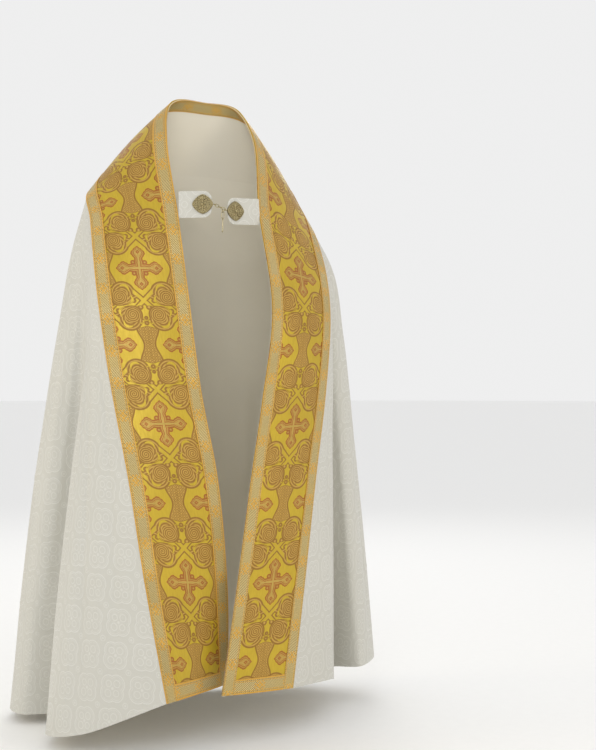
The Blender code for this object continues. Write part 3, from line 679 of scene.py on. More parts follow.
@dataclass(frozen=True)
class Brocade:
    """Yellow-gold satin with brown-gold scrolls and outlined crosses."""

    name: str = "gold_brocade"
    ground: tuple[float, float, float] = (0.575, 0.405, 0.024)
    brown: tuple[float, float, float] = (0.30, 0.150, 0.012)
    thread: tuple[float, float, float] = (0.55, 0.335, 0.060)
    rust: tuple[float, float, float] = (0.34, 0.085, 0.010)
    # pale: painted highlight on the raised bars of the crosses, also used for their head rings.
    pale: tuple[float, float, float] = (0.52, 0.36, 0.075)
    half_drop: float = 8.3
    half_repeat: float = 18.2
    reach: float = 5.5
    disc: tuple[float, float] = (5.35, 6.95)
    disc_radius: float = 1.72
    disc_surround: float = 2.26
    saltire: float = 7.9
    # Rounds that make up the scroll, the fleur and the hooks: place across and along, and radius.
    rounds: tuple[tuple[float, float, float], ...] = (
        (4.60, 6.10, 2.88), (8.3, 5.0, 0.5), (7.45, 5.55, 0.46), (8.3, 6.2, 0.42), (7.35, 8.75, 0.62),
        (2.25, 7.95, 0.52))
    # Crescents of ground beside the disc: place from its middle, and radius.
    crescents: tuple[tuple[float, float, float], ...] = (
        (-1.22, -2.05, 1.20), (-2.15, 0.78, 1.12), (1.95, -1.35, 0.90))
    # A leaf tip: where it starts, how far it runs, and its half width at its root and at its point.
    tip_start: tuple[float, float] = (3.9, 6.5)
    tip_run: tuple[float, float] = (-2.9, 0.45)
    tip_half_widths: tuple[float, float] = (1.95, 0.23)
    # Half width of an arm of the cross along its reach, as shares.
    arm_profile: tuple[tuple[float, float], ...] = (
        (0.0, 0.60), (0.22, 0.66), (0.34, 0.60), (0.42, 0.56), (0.54, 0.80), (0.64, 0.98), (0.72, 0.92),
        (0.84, 0.60), (0.97, 0.16), (1.0, 0.0))

    def make(self) -> Any:
        """Build the material."""
        dyer = Dyer.start(self.name)
        x, y = dyer.flat_place()
        across = (x * CM).abs()
        along = (y * CM).fold(2 * self.half_repeat)
        flip = along.over(self.half_repeat / 2, 0.001)
        keep = 1.0 - flip
        x = across * keep + (self.half_drop - across) * flip
        y = along * keep + (self.half_repeat - along) * flip
        side = x.abs()
        cross = self.cross(dyer, side, y)
        disc = away(x, y, *self.disc)
        mass = (disc - self.disc_surround).low(self.tip(x, y))
        waist = (y * 0.8).cos() * -0.6 + 2.0
        column = (x - self.half_drop).abs() - waist + y.over(4.1, 0.5) * 3.4
        rounds = [away(x, y, at, up) - radius for at, up, radius in self.rounds]
        mass = reduce(Value.low, rounds, mass.low(column))
        arms = (side - (y - self.saltire).abs()).abs().high(side * 1.6 - 3.1)
        saltire = arms.under(0.55, 0.05)
        gaps = reduce(Value.high, [self.crescent(x, y, *crescent) for crescent in self.crescents])
        mass = mass.low((arms - 0.95).high(side - 2.2))
        brown = mass.under(0.0, 0.05) * (1.0 - saltire) * (1.0 - gaps) * cross.over(0.42, 0.04)
        line = self.drawing(x, y, disc, mass, column)
        colour = dyer.mix(brown, self.ground, dyer.mix(line, self.brown, self.thread))
        edge = mass.line(-0.02, 0.085, 0.03).high(gaps.line(0.5, 0.35, 0.1) * 0.8)
        edge = edge * (1.0 - saltire) * cross.over(0.35, 0.05)
        colour = dyer.mix(edge * 0.8, colour, self.brown)
        colour, raised = self.dress_cross(dyer, colour, cross, side, y)
        strands = dyer.noise(260.0, 1.0, stretch=(1.0, 0.18, 1.0))
        sheen = dyer.noise(9.0, 2.0)
        shade = ((strands - 0.5) * 0.8 + (sheen - 0.5) * 0.8 + 0.42) * 0.6
        dim = dyer.node("ShaderNodeMix", {"data_type": "RGBA", "blend_type": "MULTIPLY"},
                        {0: 1.0, 6: colour, 7: (0.62, 0.54, 0.40, 1.0)}).outputs[2]
        colour = dyer.mix(shade, colour, dim)
        height = brown * (line * 0.7 + 0.5) + raised + strands * 0.25
        roughness = 0.36 + brown * 0.12 + (strands - 0.5) * 0.2
        metallic = 0.38 - brown * 0.12
        return dyer.finish(colour, roughness, metallic, dyer.bump(height, 0.00045), specular_ior_level=0.6)

    def drawing(self, x: Value, y: Value, disc: Value, mass: Value, column: Value) -> Value:
        """The lighter lines on the scrolls: rings in the disc, contours round it, a knot in the column."""
        in_disc = disc.under(self.disc_radius + 0.12, 0.05)
        angle = (y - self.disc[1]).apply("ARCTAN2", x - self.disc[0])
        rings = (disc * 13.5 + angle).sin() + disc.under(0.62, 0.1) * 0.3
        contour = (mass * 9.5).sin()
        bars = ((x + y) * 2.6).sin().abs().low(((x - y) * 2.6).sin().abs())
        knot = (bars * 9.0).sin()
        in_column = column.under(-0.45, 0.1) * (1.0 - in_disc)
        drawn = rings * in_disc + (contour * (1.0 - in_column) + knot * in_column) * (1.0 - in_disc)
        return drawn.over(0.10, 0.45)

    def cross(self, dyer: Dyer, x: Value, y: Value) -> Value:
        """Distance from the edge of an equal-armed cross with pointed heads; minus inside it."""
        arms = [self.ramp(dyer, along / self.reach) * 1.80 - 0.24 for along in (x, y)]
        beads = away(x, y, 1.35, 1.35) - 0.42
        upright = (y - arms[0]).high(x - self.reach)
        level = (x - arms[1]).high(y - self.reach)
        return upright.low(level).low(beads)

    def ramp(self, dyer: Dyer, place: Value) -> Value:
        """Read the arm's profile at a share of its reach."""
        stops = [(at, (size, size, size, 1.0)) for at, size in self.arm_profile]
        made = dyer.node("ShaderNodeValToRGB", {"interpolation": "EASE", "stops": stops}, {0: place})
        return dyer.value(made.outputs[0])

    def tip(self, x: Value, y: Value) -> Value:
        """Distance from the leaf tip that runs from the scroll to the saltire."""
        x, y = x - self.tip_start[0], y - self.tip_start[1]
        run_x, run_y = self.tip_run
        root, point = self.tip_half_widths
        share = ((x * run_x + y * run_y) / (run_x ** 2 + run_y ** 2)).low(1.0).high(0.0)
        off_x, off_y = x - share * run_x, y - share * run_y
        return (off_x * off_x + off_y * off_y).sqrt() - (root - share * (root - point))

    def crescent(self, x: Value, y: Value, off_x: float, off_y: float, radius: float) -> Value:
        """A crescent of ground that shows beside the disc."""
        shift = 0.62 * radius / math.hypot(off_x, off_y)
        outer, inner = (away(x, y, self.disc[0] + off_x * share, self.disc[1] + off_y * share)
                        for share in (0.93, 0.93 - shift))
        return outer.under(radius, 0.04) * inner.over(radius * 1.08, 0.04)

    def dress_cross(self, dyer: Dyer, colour: Any, cross: Value, x: Value,
                    y: Value) -> tuple[Any, Value]:
        """Colour the cross, its outlines, bars and end rings over the ground."""
        inside = cross.under(0.0, 0.05)
        colour = dyer.mix(inside, colour, self.thread)
        grain = (cross * 20.0).sin().over(0.2, 0.5) * inside
        colour = dyer.mix(grain * 0.55, colour, self.brown)
        outline = cross.line(0.0, 0.15, 0.05)
        inner_line = cross.line(-0.50, 0.10, 0.05)
        bar = (x.under(0.19, 0.05) * y.under(3.2, 0.1)).high(y.under(0.19, 0.05) * x.under(3.2, 0.1))
        head = (y + (x - 3.95).abs()).low(x + (y - 3.95).abs())
        # The bars along the arms are raised, and their pale colour is painted highlight; the head rings take the
        # same pale.
        colour = dyer.mix(bar.high(head.line(0.86, 0.16, 0.05)) * 0.85, colour, self.pale)
        rust = outline.high(inner_line * 0.85 * (1.0 - bar)).high(head.line(0.30, 0.14, 0.05))
        colour = dyer.mix(rust * 0.9, colour, self.rust)
        return colour, rust * 0.5 + bar * 0.4


@dataclass(frozen=True)
class Galloon:
    """Woven silver-gold trim with orange-gold edge lines and small florets."""

    name: str = "gold_galloon"
    silver: tuple[float, float, float] = (0.78, 0.62, 0.27)
    shadow: tuple[float, float, float] = (0.19, 0.12, 0.030)
    plain: tuple[float, float, float] = (0.48, 0.34, 0.095)
    orange: tuple[float, float, float] = (0.66, 0.34, 0.025)
    floret_repeat: float = 7.4
    # Petals of a quarter floret: place along and across from its middle, and radius.
    petals: tuple[tuple[float, float, float], ...] = (
        (0.0, 0.50, 0.34), (1.15, 0.35, 0.22), (0.75, 0.85, 0.22), (0.55, 0.0, 0.36))

    def make(self) -> Any:
        """Build the material."""
        dyer = Dyer.start(self.name)
        x, y = (place * CM for place in dyer.flat_place())
        side = x.abs()
        along = y.fold(self.floret_repeat)
        slope = (y.cell(self.floret_repeat) * math.pi).cos()
        twill = ((x * slope * 1.3 + y) * 12.6).sin()
        fine = ((x * slope - y * 0.4) * 52.0).sin()
        block = (y.cell(self.floret_repeat / 2) * (math.pi / 2)).sin()
        colour = dyer.mix(twill.over(0.05, 0.35), self.shadow, self.silver)
        colour = dyer.mix(block * 0.20 + 0.16, colour, self.plain)
        petals = [away(along, side, at, out) - radius for at, out, radius in self.petals]
        floret = reduce(Value.low, petals).under(0.0, 0.07) * away(along, side, 0.0, 0.0).over(0.14, 0.04)
        picot = (y * 19.0).sin() * 0.05
        lines = (side + picot).line(1.08, 0.075, 0.04).high((side + picot).over(1.36, 0.04))
        orange = lines.high(floret)
        colour = dyer.mix(orange * 0.92, colour, self.orange)
        colour = dyer.mix(side.line(1.24, 0.055, 0.03) * 0.5, colour, self.shadow)
        strands = dyer.noise(420.0, 1.0)
        # Where the strand noise is high the trim is pulled towards a pale gold brighter than its threads: painted
        # glints on the metal strands.
        colour = dyer.mix((strands - 0.35) * 0.35, colour, (0.95, 0.82, 0.46))
        height = twill * 0.8 + fine * 0.12 + orange * 0.8 + strands * 0.3
        roughness = 0.36 + (strands - 0.5) * 0.25
        return dyer.finish(colour, roughness, 0.40, dyer.bump(height, 0.00040), specular_ior_level=0.6)


@dataclass(frozen=True)
class Lame:
    """Gold-brown lamé with a fine sparkle."""

    name: str = "gold_lame"
    base: tuple[float, float, float] = (0.46, 0.255, 0.050)
    spark: tuple[float, float, float] = (0.80, 0.56, 0.20)

    def make(self) -> Any:
        """Build the material."""
        dyer = Dyer.start(self.name)
        grain = dyer.noise(520.0, 2.0)
        cloudy = dyer.noise(18.0, 3.0)
        spark = grain.over(0.56, 0.10)
        colour = dyer.mix(spark * 0.7 + (cloudy - 0.5) * 0.5, self.base, self.spark)
        height = grain + dyer.noise(30.0, 4.0, stretch=(1.0, 2.2, 1.0)) * 2.0
        return dyer.finish(colour, 0.42 - spark * 0.14, 0.35, dyer.bump(height, 0.0003),
                           specular_ior_level=0.6)


@dataclass(frozen=True)
class Bullion:
    """Twisted fringe cord in old gold, with painted shade in the grooves of its twist and painted highlight on
    its ridges.
    """

    name: str = "bullion_fringe"
    # light is the old gold lifted to a painted highlight on the twist's ridges; dark is painted shade in its
    # grooves.
    light: tuple[float, float, float] = (0.93, 0.77, 0.46)
    dark: tuple[float, float, float] = (0.34, 0.225, 0.10)
    pitch: float = 0.0042

    def make(self) -> Any:
        """Build the material."""
        dyer = Dyer.start(self.name)
        x, y = dyer.flat_place()
        twist = (y * (2 * math.pi / self.pitch) + x * (2 * math.pi)).sin()
        tone = dyer.object_noise(160.0, 2.0)
        # Painted shade and highlight: the twist's grooves take the dark, its ridges the light.
        colour = dyer.mix(twist.over(-0.1, 0.6) * (tone * 0.9 + 0.35), self.dark, self.light)
        return dyer.finish(colour, 0.42, 0.4, dyer.bump(twist, 0.0006), specular_ior_level=0.6)


@dataclass(frozen=True)
class Metal:
    """Antique brass with dark tarnish in random patches."""

    name: str = "antique_brass"
    bright: tuple[float, float, float] = (0.62, 0.54, 0.32)
    dull: tuple[float, float, float] = (0.20, 0.16, 0.075)

    def make(self) -> Any:
        """Build the material."""
        dyer = Dyer.start(self.name)
        tarnish = dyer.object_noise(420.0, 4.0)
        colour = dyer.mix(tarnish.over(0.44, 0.14), self.dull, self.bright)
        return dyer.finish(colour, 0.28 + tarnish * 0.25, 1.0, dyer.bump(tarnish, 0.0002, 0.6))


@dataclass(frozen=True)
class Applique:
    """Embroidered cloth of one colour, with satin-stitch strands."""

    name: str
    colour: tuple[float, float, float]

    def make(self) -> Any:
        """Build the material."""
        dyer = Dyer.start(self.name)
        strands = dyer.noise(900.0, 2.0, stretch=(1.0, 0.16, 1.0))
        cloudy = dyer.noise(60.0, 2.0)
        shade = strands * 0.7 + cloudy * 0.4
        dark = tuple(part * 0.72 for part in self.colour)
        light = tuple(min(part * 1.12 + 0.01, 1.0) for part in self.colour)
        return dyer.finish(dyer.mix(shade, dark, light), 0.50 - strands * 0.1, 0.0,
                           dyer.bump(strands, 0.00025), sheen_weight=0.2)


# ---------------------------------------------------------------- mesh helpers

def deselect() -> None:
    """Leave nothing selected."""
    for obj in bpy.context.selected_objects:
        obj.select_set(False)


def choose(*objects: Any) -> None:
    """Select some objects and nothing else, the first of them active."""
    deselect()
    for obj in objects:
        obj.select_set(True)
    bpy.context.view_layer.objects.active = objects[0]


def add_object(name: str, data: Any) -> Any:
    """Add an object for some data to the scene."""
    obj = bpy.data.objects.new(name, data)
    bpy.context.scene.collection.objects.link(obj)
    return obj


def ride(obj: Any, name: str, nodes: Sequence[str] = ()) -> Any:
    """Name a piece, ride it on the cope and hide the CAD nodes it stands for."""
    obj.name = name
    obj.data.name = name
    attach(obj, COPE_BODY)
    if nodes:
        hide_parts(*nodes)
    LOG.info("%s: %d faces", name, len(obj.data.polygons))
    return obj


def cloth_grid(points: np.ndarray, uv: np.ndarray, outwards: np.ndarray) -> Any:
    """A grid primitive laid onto a grid of points.

    Args:
        points: Rows by columns of points.
        uv: Rows by columns of flat coordinates.
        outwards: Normals that the faces agree with.

    Returns:
        The new object, with its flat coordinates as its UV map.
    """
    rows, columns = points.shape[:2]
    deselect()
    bpy.ops.mesh.primitive_grid_add(x_subdivisions=columns - 1, y_subdivisions=rows - 1, size=2.0)
    obj = bpy.context.active_object
    mesh = obj.data
    start = np.empty(len(mesh.vertices) * 3)
    mesh.vertices.foreach_get("co", start)
    start = start.reshape(-1, 3)
    column = np.rint((start[:, 0] + 1) / 2 * (columns - 1)).astype(int)
    row = np.rint((start[:, 1] + 1) / 2 * (rows - 1)).astype(int)
    mesh.vertices.foreach_set("co", points[row, column].ravel())
    corners = np.empty(len(mesh.loops), dtype=np.int32)
    mesh.loops.foreach_get("vertex_index", corners)
    mesh.uv_layers.active.data.foreach_set("uv", uv[row[corners], column[corners]].ravel())
    if float((grid_normals(points) * outwards).sum()) > 0:
        mesh.flip_normals()
    mesh.update()
    return obj


def apply_modifiers(obj: Any) -> None:
    """Apply every modifier of an object."""
    choose(obj)
    for modifier in list(obj.modifiers):
        bpy.ops.object.modifier_apply(modifier=modifier.name)


def give_wall(obj: Any, thickness: float) -> None:
    """Give a sheet a wall on its inner side, and smooth it."""
    wall = obj.modifiers.new("wall", "SOLIDIFY")
    wall.thickness = thickness
    wall.offset = -1.0
    wall.use_even_offset = False
    apply_modifiers(obj)
    bpy.ops.object.shade_smooth_by_angle(angle=SHARP_ANGLE)


def dress(obj: Any, material: Any) -> None:
    """Give a piece one material."""
    obj.data.materials.clear()
    obj.data.materials.append(material)


# ---------------------------------------------------------------- studio

class Lamp(NamedTuple):
    """One soft square lamp: its place, its side, its power and its colour."""

    name: str
    place: tuple[float, float, float]
    size: float
    power: float
    colour: tuple[float, float, float]


@dataclass
class Studio:
    """Camera, soft lights and a pale floor."""

    lamps: tuple[Lamp, ...] = (
        Lamp("key", (-1.7, -3.5, 1.2), 1.2, 17.0, (0.97, 0.985, 1.0)),
        Lamp("left", (-3.5, 0.5, 0.3), 1.2, 20.0, (1.0, 0.86, 0.60)),
        Lamp("right", (2.3, -3.0, 0.1), 1.0, 16.0, (1.0, 0.88, 0.66)),
        Lamp("back", (1.2, 3.4, 1.6), 1.8, 24.0, (1.0, 0.985, 0.95)),
        Lamp("front", (-0.7, -3.3, -0.2), 1.0, 8.0, (0.97, 0.985, 1.0)),
    )
    aim: tuple[float, float, float] = (0.0, 0.0, -0.5)
    surroundings: float = 0.86
    floor_radius: float = 40.0
    distance: float = 3.2
    azimuth: float = math.radians(-15)
    eye_height: float = -0.551
    pan: float = math.radians(3.64)
    lens: float = 62.67
    floor_gap: float = 0.012

    def place_camera(self) -> None:
        """Put the camera in front, a little to the wearer's right, looking level."""
        data = bpy.data.cameras.new("camera")
        data.lens = self.lens
        camera = add_object("camera", data)
        x, y = math.sin(self.azimuth) * self.distance, -math.cos(self.azimuth) * self.distance
        camera.location = (x, y, self.eye_height)
        camera.rotation_euler = (math.radians(90), 0.0, self.azimuth - self.pan)
        bpy.context.scene.camera = camera

    def light(self, lamp: Lamp) -> None:
        """Add one soft lamp that looks at the middle of the cloak."""
        data = bpy.data.lights.new(lamp.name, "AREA")
        data.size = lamp.size
        data.energy = lamp.power
        data.color = lamp.colour
        obj = add_object(lamp.name, data)
        obj.location = lamp.place
        obj.rotation_euler = (Vector(self.aim) - Vector(lamp.place)).to_track_quat("-Z", "Y").to_euler()

    def lights(self) -> None:
        """Add the lamps and the pale surroundings."""
        for lamp in self.lamps:
            self.light(lamp)
        world = bpy.data.worlds.new("surroundings")
        world.use_nodes = True
        background = world.node_tree.nodes["Background"]
        background.inputs[0].default_value = (1.0, 1.0, 1.0, 1.0)
        background.inputs[1].default_value = self.surroundings
        bpy.context.scene.world = world
        bpy.context.scene.view_settings.view_transform = "Standard"

    def floor(self, lowest: float) -> None:
        """Lay the floor just under the hem."""
        deselect()
        bpy.ops.mesh.primitive_circle_add(vertices=64, radius=self.floor_radius, fill_type="NGON",
                                          location=(0, 0, lowest - self.floor_gap))
        floor = bpy.context.active_object
        floor.name = "studio_floor"
        dyer = Dyer.start("pale_floor")
        grain = dyer.object_noise(40.0, 2.0)
        dress(floor, dyer.finish(dyer.mix(grain, (0.90, 0.90, 0.895), (0.93, 0.93, 0.925)), 0.7))
        floor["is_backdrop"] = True

    def build(self) -> None:
        """Set the whole studio up."""
        self.place_camera()
        self.lights()
        self.floor(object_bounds()[0][2])


# ---------------------------------------------------------------- cloth

@dataclass
class Cloth:
    """A sheet of one drape: its outer face, its normals and its flat coordinates."""

    points: np.ndarray
    normals: np.ndarray
    flat: np.ndarray

    def part(self, rows: slice, columns: slice) -> "Cloth":
        """Some rows and columns of the sheet."""
        return Cloth(self.points[rows, columns], self.normals[rows, columns], self.flat[rows, columns])

    def piece(self, name: str, slot: str, material: Any, nodes: Sequence[str], outside: float,
              thickness: float) -> Any:
        """Build the sheet as a walled piece.

        Args:
            name: The piece's name.
            slot: The record's material slot; not used.
            material: Its finish.
            nodes: The CAD nodes it stands for.
            outside: How far its outer face lies off the drape.
            thickness: Its wall, inwards from there.

        Returns:
            The piece.
        """
        points = self.points + self.normals * outside
        obj = cloth_grid(points, self.flat, self.normals)
        give_wall(obj, thickness)
        dress(obj, material)
        return ride(obj, name, nodes)

    def trim(self, name: str, material: Any, node: str, outside: float) -> Any:
        """Build the sheet as a galloon."""
        return self.piece(f"trim_{name}", "galloon", material, [node], outside, GALLOON)


@dataclass
class Cloak:
    """The damask cloak and its lining, in two halves that meet at the centre back."""

    drape: Drape
    columns: int = 161
    rows: int = 130
    sector: float = 1.96
    top_radius: float = 0.383
    flat_size: tuple[float, float] = (1.36, 1.42)
    flat_area: float = 1.23

    def cloth(self, first: float, last: float, columns: int, rows: int) -> Cloth:
        """The drape's cloth between two places round it."""
        u = np.linspace(first, last, columns)
        v = np.linspace(0, 1, rows)
        points = self.drape.cloak(u, v)
        radius = self.top_radius + run_lengths(points, 0)
        angle = self.sector * (u - 0.5)[None]
        flat = np.stack([radius * np.sin(angle), -radius * np.cos(angle)], axis=-1)
        return Cloth(points, -grid_normals(points), flat)

    def build(self, damask: Any, satin: Any) -> None:
        """Build both halves of the cloak and of its lining."""
        inner_face = -CLOTH - SEAM_GAP
        for side, (first, last) in ((Side.RIGHT, (0.0, 0.5)), (Side.LEFT, (0.5, 1.0))):
            cloth = self.cloth(first, last, self.columns, self.rows)
            outer = cloth.piece(f"cloak_{side.value}", "damask", damask, [f"body_{side.value}"],
                                0.0, CLOTH)
            inner = cloth.piece(f"cloak_lining_{side.value}", "lining", satin,
                                [f"lining_body_{side.value}"], inner_face, LINING)


@dataclass
class Orphrey:
    """The gold brocade band down both fronts and round the neck, with its lining and galloons."""

    drape: Drape
    rows: int = 261
    columns: int = 25
    trim_columns: int = 4
    trim_share: float = GALLOON_WIDTH / BAND_WIDTH
    half_length: float = 1.62
    pattern_start: tuple[float, float] = (-0.110, 0.160)
    width: float = 0.205
    back_half: float = 0.015
    back_search: float = 0.06
    neck_reach: float = 13 / 40

    def cloth(self, first: float, last: float) -> Cloth:
        """The whole band between two places along it, with columns at the inside of each galloon."""
        t = np.linspace(first, last, self.rows)
        trim = np.linspace(0, self.trim_share, self.trim_columns + 1)
        middle = np.linspace(self.trim_share, 1 - self.trim_share, self.columns)
        across = np.concatenate([trim, middle[1:-1], 1 - trim[::-1]])
        points = self.drape.band(t, across)
        wide = run_lengths(points, 1)
        centre = points[:, [len(across) // 2]]
        along = run_lengths(centre, 0)
        if last < self.drape.knots[-1]:
            along = along - along[-1:]
        flat = np.stack([wide - wide[:, -1:] / 2, np.broadcast_to(along, wide.shape)], axis=-1)
        return Cloth(points, grid_normals(points), flat)

    @staticmethod
    def galloon(cloth: Cloth, columns: slice, name: str, trim: Any) -> Any:
        """One galloon sewn on the band, with its own flat coordinates from its middle line."""
        part = cloth.part(slice(None), columns)
        part.flat = part.flat.copy()
        middle = (part.flat[:, :1] + part.flat[:, -1:]) / 2
        part.flat[:, :, 0] -= middle[:, :, 0]
        return part.trim(name, trim, f"galloon_{name}", SEAM_GAP + GALLOON)

    def build(self, brocade: Any, satin: Any, trim: Any) -> None:
        """Build both halves."""
        knots = self.drape.knots
        spans = ((Side.RIGHT, knots[0], knots[CENTRE_BACK]), (Side.LEFT, knots[CENTRE_BACK], knots[-1]))
        inner_face = -CLOTH - SEAM_GAP
        last = self.trim_columns
        for side, first, final in spans:
            cloth = self.cloth(first, final)
            name = side.value
            shifted = cloth.flat + (0.0, self.pattern_start[side is Side.LEFT])
            band = Cloth(cloth.points, cloth.normals, shifted).piece(
                f"band_{name}", "brocade", brocade, [f"orphrey_{name}"], 0.0, CLOTH)
            lining = cloth.piece(f"band_lining_{name}", "lining", satin, [f"lining_orphrey_{name}"],
                                 inner_face, LINING)
            edges = [self.galloon(cloth, slice(0, last + 1), f"inner_{name}", trim),
                     self.galloon(cloth, slice(-last - 1, None), f"outer_{name}", trim),
                     self.bottom(cloth, side, trim)]
        self.back(trim)
        self.neck(trim)

    def bottom(self, cloth: Cloth, side: Side, trim: Any) -> Any:
        """The galloon across the band's bottom end."""
        inner = slice(self.trim_columns, -self.trim_columns)
        run = np.abs(cloth.flat[:, 0, 1] - cloth.flat[0 if side is Side.RIGHT else -1, 0, 1])
        count = int(np.searchsorted(np.sort(run), GALLOON_WIDTH)) + 1
        rows = slice(0, count) if side is Side.RIGHT else slice(-count, None)
        part = cloth.part(rows, inner)
        part.flat = part.flat[:, :, ::-1].copy()
        part.flat[:, :, 0] -= part.flat[:, :, 0].mean()
        return part.trim(f"bottom_{side.value}", trim, f"galloon_bottom_{side.value}", SEAM_GAP + GALLOON)

    def back(self, trim: Any) -> None:
        """The short galloon over the join at the centre back, between the edge galloons."""
        middle = self.drape.knots[CENTRE_BACK]
        t = np.linspace(middle - self.back_search, middle + self.back_search, 49)
        across = np.linspace(self.trim_share, 1 - self.trim_share, 29)
        points = self.drape.band(t, across)
        normals = grid_normals(points)
        wanted = np.linspace(-self.back_half, self.back_half, 7)
        rows = [[[np.interp(x, points[:, c, 0], grid[:, c, axis]) for axis in range(3)] for x in wanted]
                for grid in (points, normals) for c in range(len(across))]
        both = np.array(rows).reshape(2, len(across), len(wanted), 3)
        down = run_lengths(both[0], 0)
        flat = np.stack([np.broadcast_to(wanted, down.shape), down], axis=-1)
        Cloth(both[0], unit(both[1]), flat).trim("back", trim, "galloon_back", 2 * SEAM_GAP + GALLOON)

    def neck(self, trim: Any) -> None:
        """The galloon sewn inside the back of the neck."""
        ends = self.drape.top_place(np.array([0.5 - self.neck_reach, 0.5 + self.neck_reach]))
        t = np.linspace(ends[0], ends[1], 121)
        points = self.drape.band(t, np.linspace(0, self.trim_share, 5))
        wide = run_lengths(points, 1)
        along = run_lengths(points[:, [2]], 0)
        flat = np.stack([wide - wide[:, -1:] / 2, np.broadcast_to(along, wide.shape)], axis=-1)
        face = -CLOTH - LINING - 2 * SEAM_GAP
        Cloth(points, grid_normals(points), flat).trim("neck", trim, "neck_galloon", face)


# ---------------------------------------------------------------- hood

HOOD_TOP_HALF_WIDTH = 0.214
HOOD_HALF_WIDTH = 0.250
HOOD_STRAIGHT = 0.180
HOOD_LENGTH = 0.485
HOOD_LIFT = 0.0050
HOOD_CLOTH = 0.0015
HOOD_REACH = 0.560
FRINGE_SPREAD = 0.012


def hood_ease(down: Any) -> np.ndarray:
    """A share that eases from nought at the hood's top to one where its curve begins."""
    share = np.clip(np.asarray(down, float) / HOOD_STRAIGHT, 0.0, 1.0)
    return share * share * (3 - 2 * share)


def hood_half_width(down: Any) -> np.ndarray:
    """Half width of the hood at distances below its top."""
    return HOOD_TOP_HALF_WIDTH + (HOOD_HALF_WIDTH - HOOD_TOP_HALF_WIDTH) * hood_ease(down)


@dataclass
class HoodSheet:
    """The smooth sheet that the hood hangs in, just clear of the band's trim and the cloak's back."""

    drape: Drape
    columns: int = 40
    rows: int = 11
    cloak_fall: float = 1.1
    fit_across: int = 41
    fit_down: int = 37
    slope_step: float = 0.004

    def __post_init__(self) -> None:
        """Fit the sheet to the cloth beneath it."""
        u = np.linspace(0, 1, self.columns + 1)
        v = np.append(np.linspace(0, 1 - GALLOON_WIDTH / self.cloak_fall, self.rows), 1.0)
        cloak = self.drape.cloak(u, v)
        trim = self.drape.band(self.drape.top_place(u), [0.0, 1 - GALLOON_WIDTH / BAND_WIDTH, 1.0])[:, 1]
        first = int(round(PLACE_AT[5] * self.columns))
        keep = slice(first, self.columns + 1 - first)
        self.grid = np.concatenate([trim[None, keep], cloak[:, keep]])
        places = np.meshgrid(np.linspace(-1, 1, self.fit_across), np.linspace(0, HOOD_REACH, self.fit_down))
        share, down = (item.ravel() for item in places)
        x = share * (hood_half_width(down) + FRINGE_SPREAD)
        height = self.height(x, down)
        depth = np.array([self.cloth_depth(place, level) for place, level in zip(x, height)])
        self.shape = np.linalg.lstsq(self.terms(x, down), depth, rcond=None)[0]
        self.clearance = float(max(depth - self.terms(x, down) @ self.shape))

    @staticmethod
    def terms(x: Any, down: Any) -> np.ndarray:
        """Powers of the place across and down that make up the sheet."""
        return np.stack([x ** i * down ** j for i in range(5) for j in range(4)], axis=-1)

    def cloth_depth(self, x: float, z: float) -> float:
        """How far back the cloth beneath lies at one x and z."""
        ys = [np.interp(x, row[:, 0], row[:, 1]) for row in self.grid]
        zs = [np.interp(x, row[:, 0], row[:, 2]) for row in self.grid]
        return float(np.interp(-z, -np.array(zs), ys))

    def top(self, x: Any) -> np.ndarray:
        """Height of the inside of the band's outer trim at x, level beyond the hood's top corners."""
        x = np.clip(x, -HOOD_TOP_HALF_WIDTH, HOOD_TOP_HALF_WIDTH)
        return np.interp(x, self.grid[0, :, 0], self.grid[0, :, 2])

    def height(self, x: Any, down: Any) -> np.ndarray:
        """Height of places on the hood, whose top follows the trim and whose lower part hangs level."""
        share = hood_ease(down)
        return self.top(x) * (1 - share) + self.top(0.0) * share - down

    def depth(self, x: Any, down: Any) -> np.ndarray:
        """How far back the sheet lies."""
        return self.terms(x, down) @ self.shape + self.clearance

    def place(self, across: Any, down: Any, lift: Any) -> tuple[np.ndarray, np.ndarray]:
        """Points across and down the sheet, lifted off it, with their outward normals."""
        across, down = np.broadcast_arrays(np.asarray(across, float), np.asarray(down, float))
        step = self.slope_step
        slope_x = (self.depth(across + step, down) - self.depth(across - step, down)) / (2 * step)
        slope_z = (self.depth(across, down - step) - self.depth(across, down + step)) / (2 * step)
        normals = unit(np.stack([-slope_x, np.ones_like(slope_x), -slope_z], axis=-1))
        points = np.stack([across, self.depth(across, down), self.height(across, down)], axis=-1)
        return points + normals * np.asarray(lift)[..., None], normals


def hood_line(inset: float, arc_steps: int = 40, side_steps: int = 16) -> np.ndarray:
    """One U-shaped line on the hood, set in from its edge, from the top right round to the top left."""
    falls = np.linspace(0.0, HOOD_STRAIGHT, side_steps + 1)
    side = [(float(hood_half_width(down)) * (1 - inset / HOOD_HALF_WIDTH), down) for down in falls]
    drop = HOOD_LENGTH - HOOD_STRAIGHT - inset
    for i in range(1, arc_steps + 1):
        angle = math.pi / 2 * i / arc_steps
        side.append(((HOOD_HALF_WIDTH - inset) * math.cos(angle), HOOD_STRAIGHT + drop * math.sin(angle)))
    return np.array([(-x, down) for x, down in side] + [(x, down) for x, down in reversed(side[:-1])])


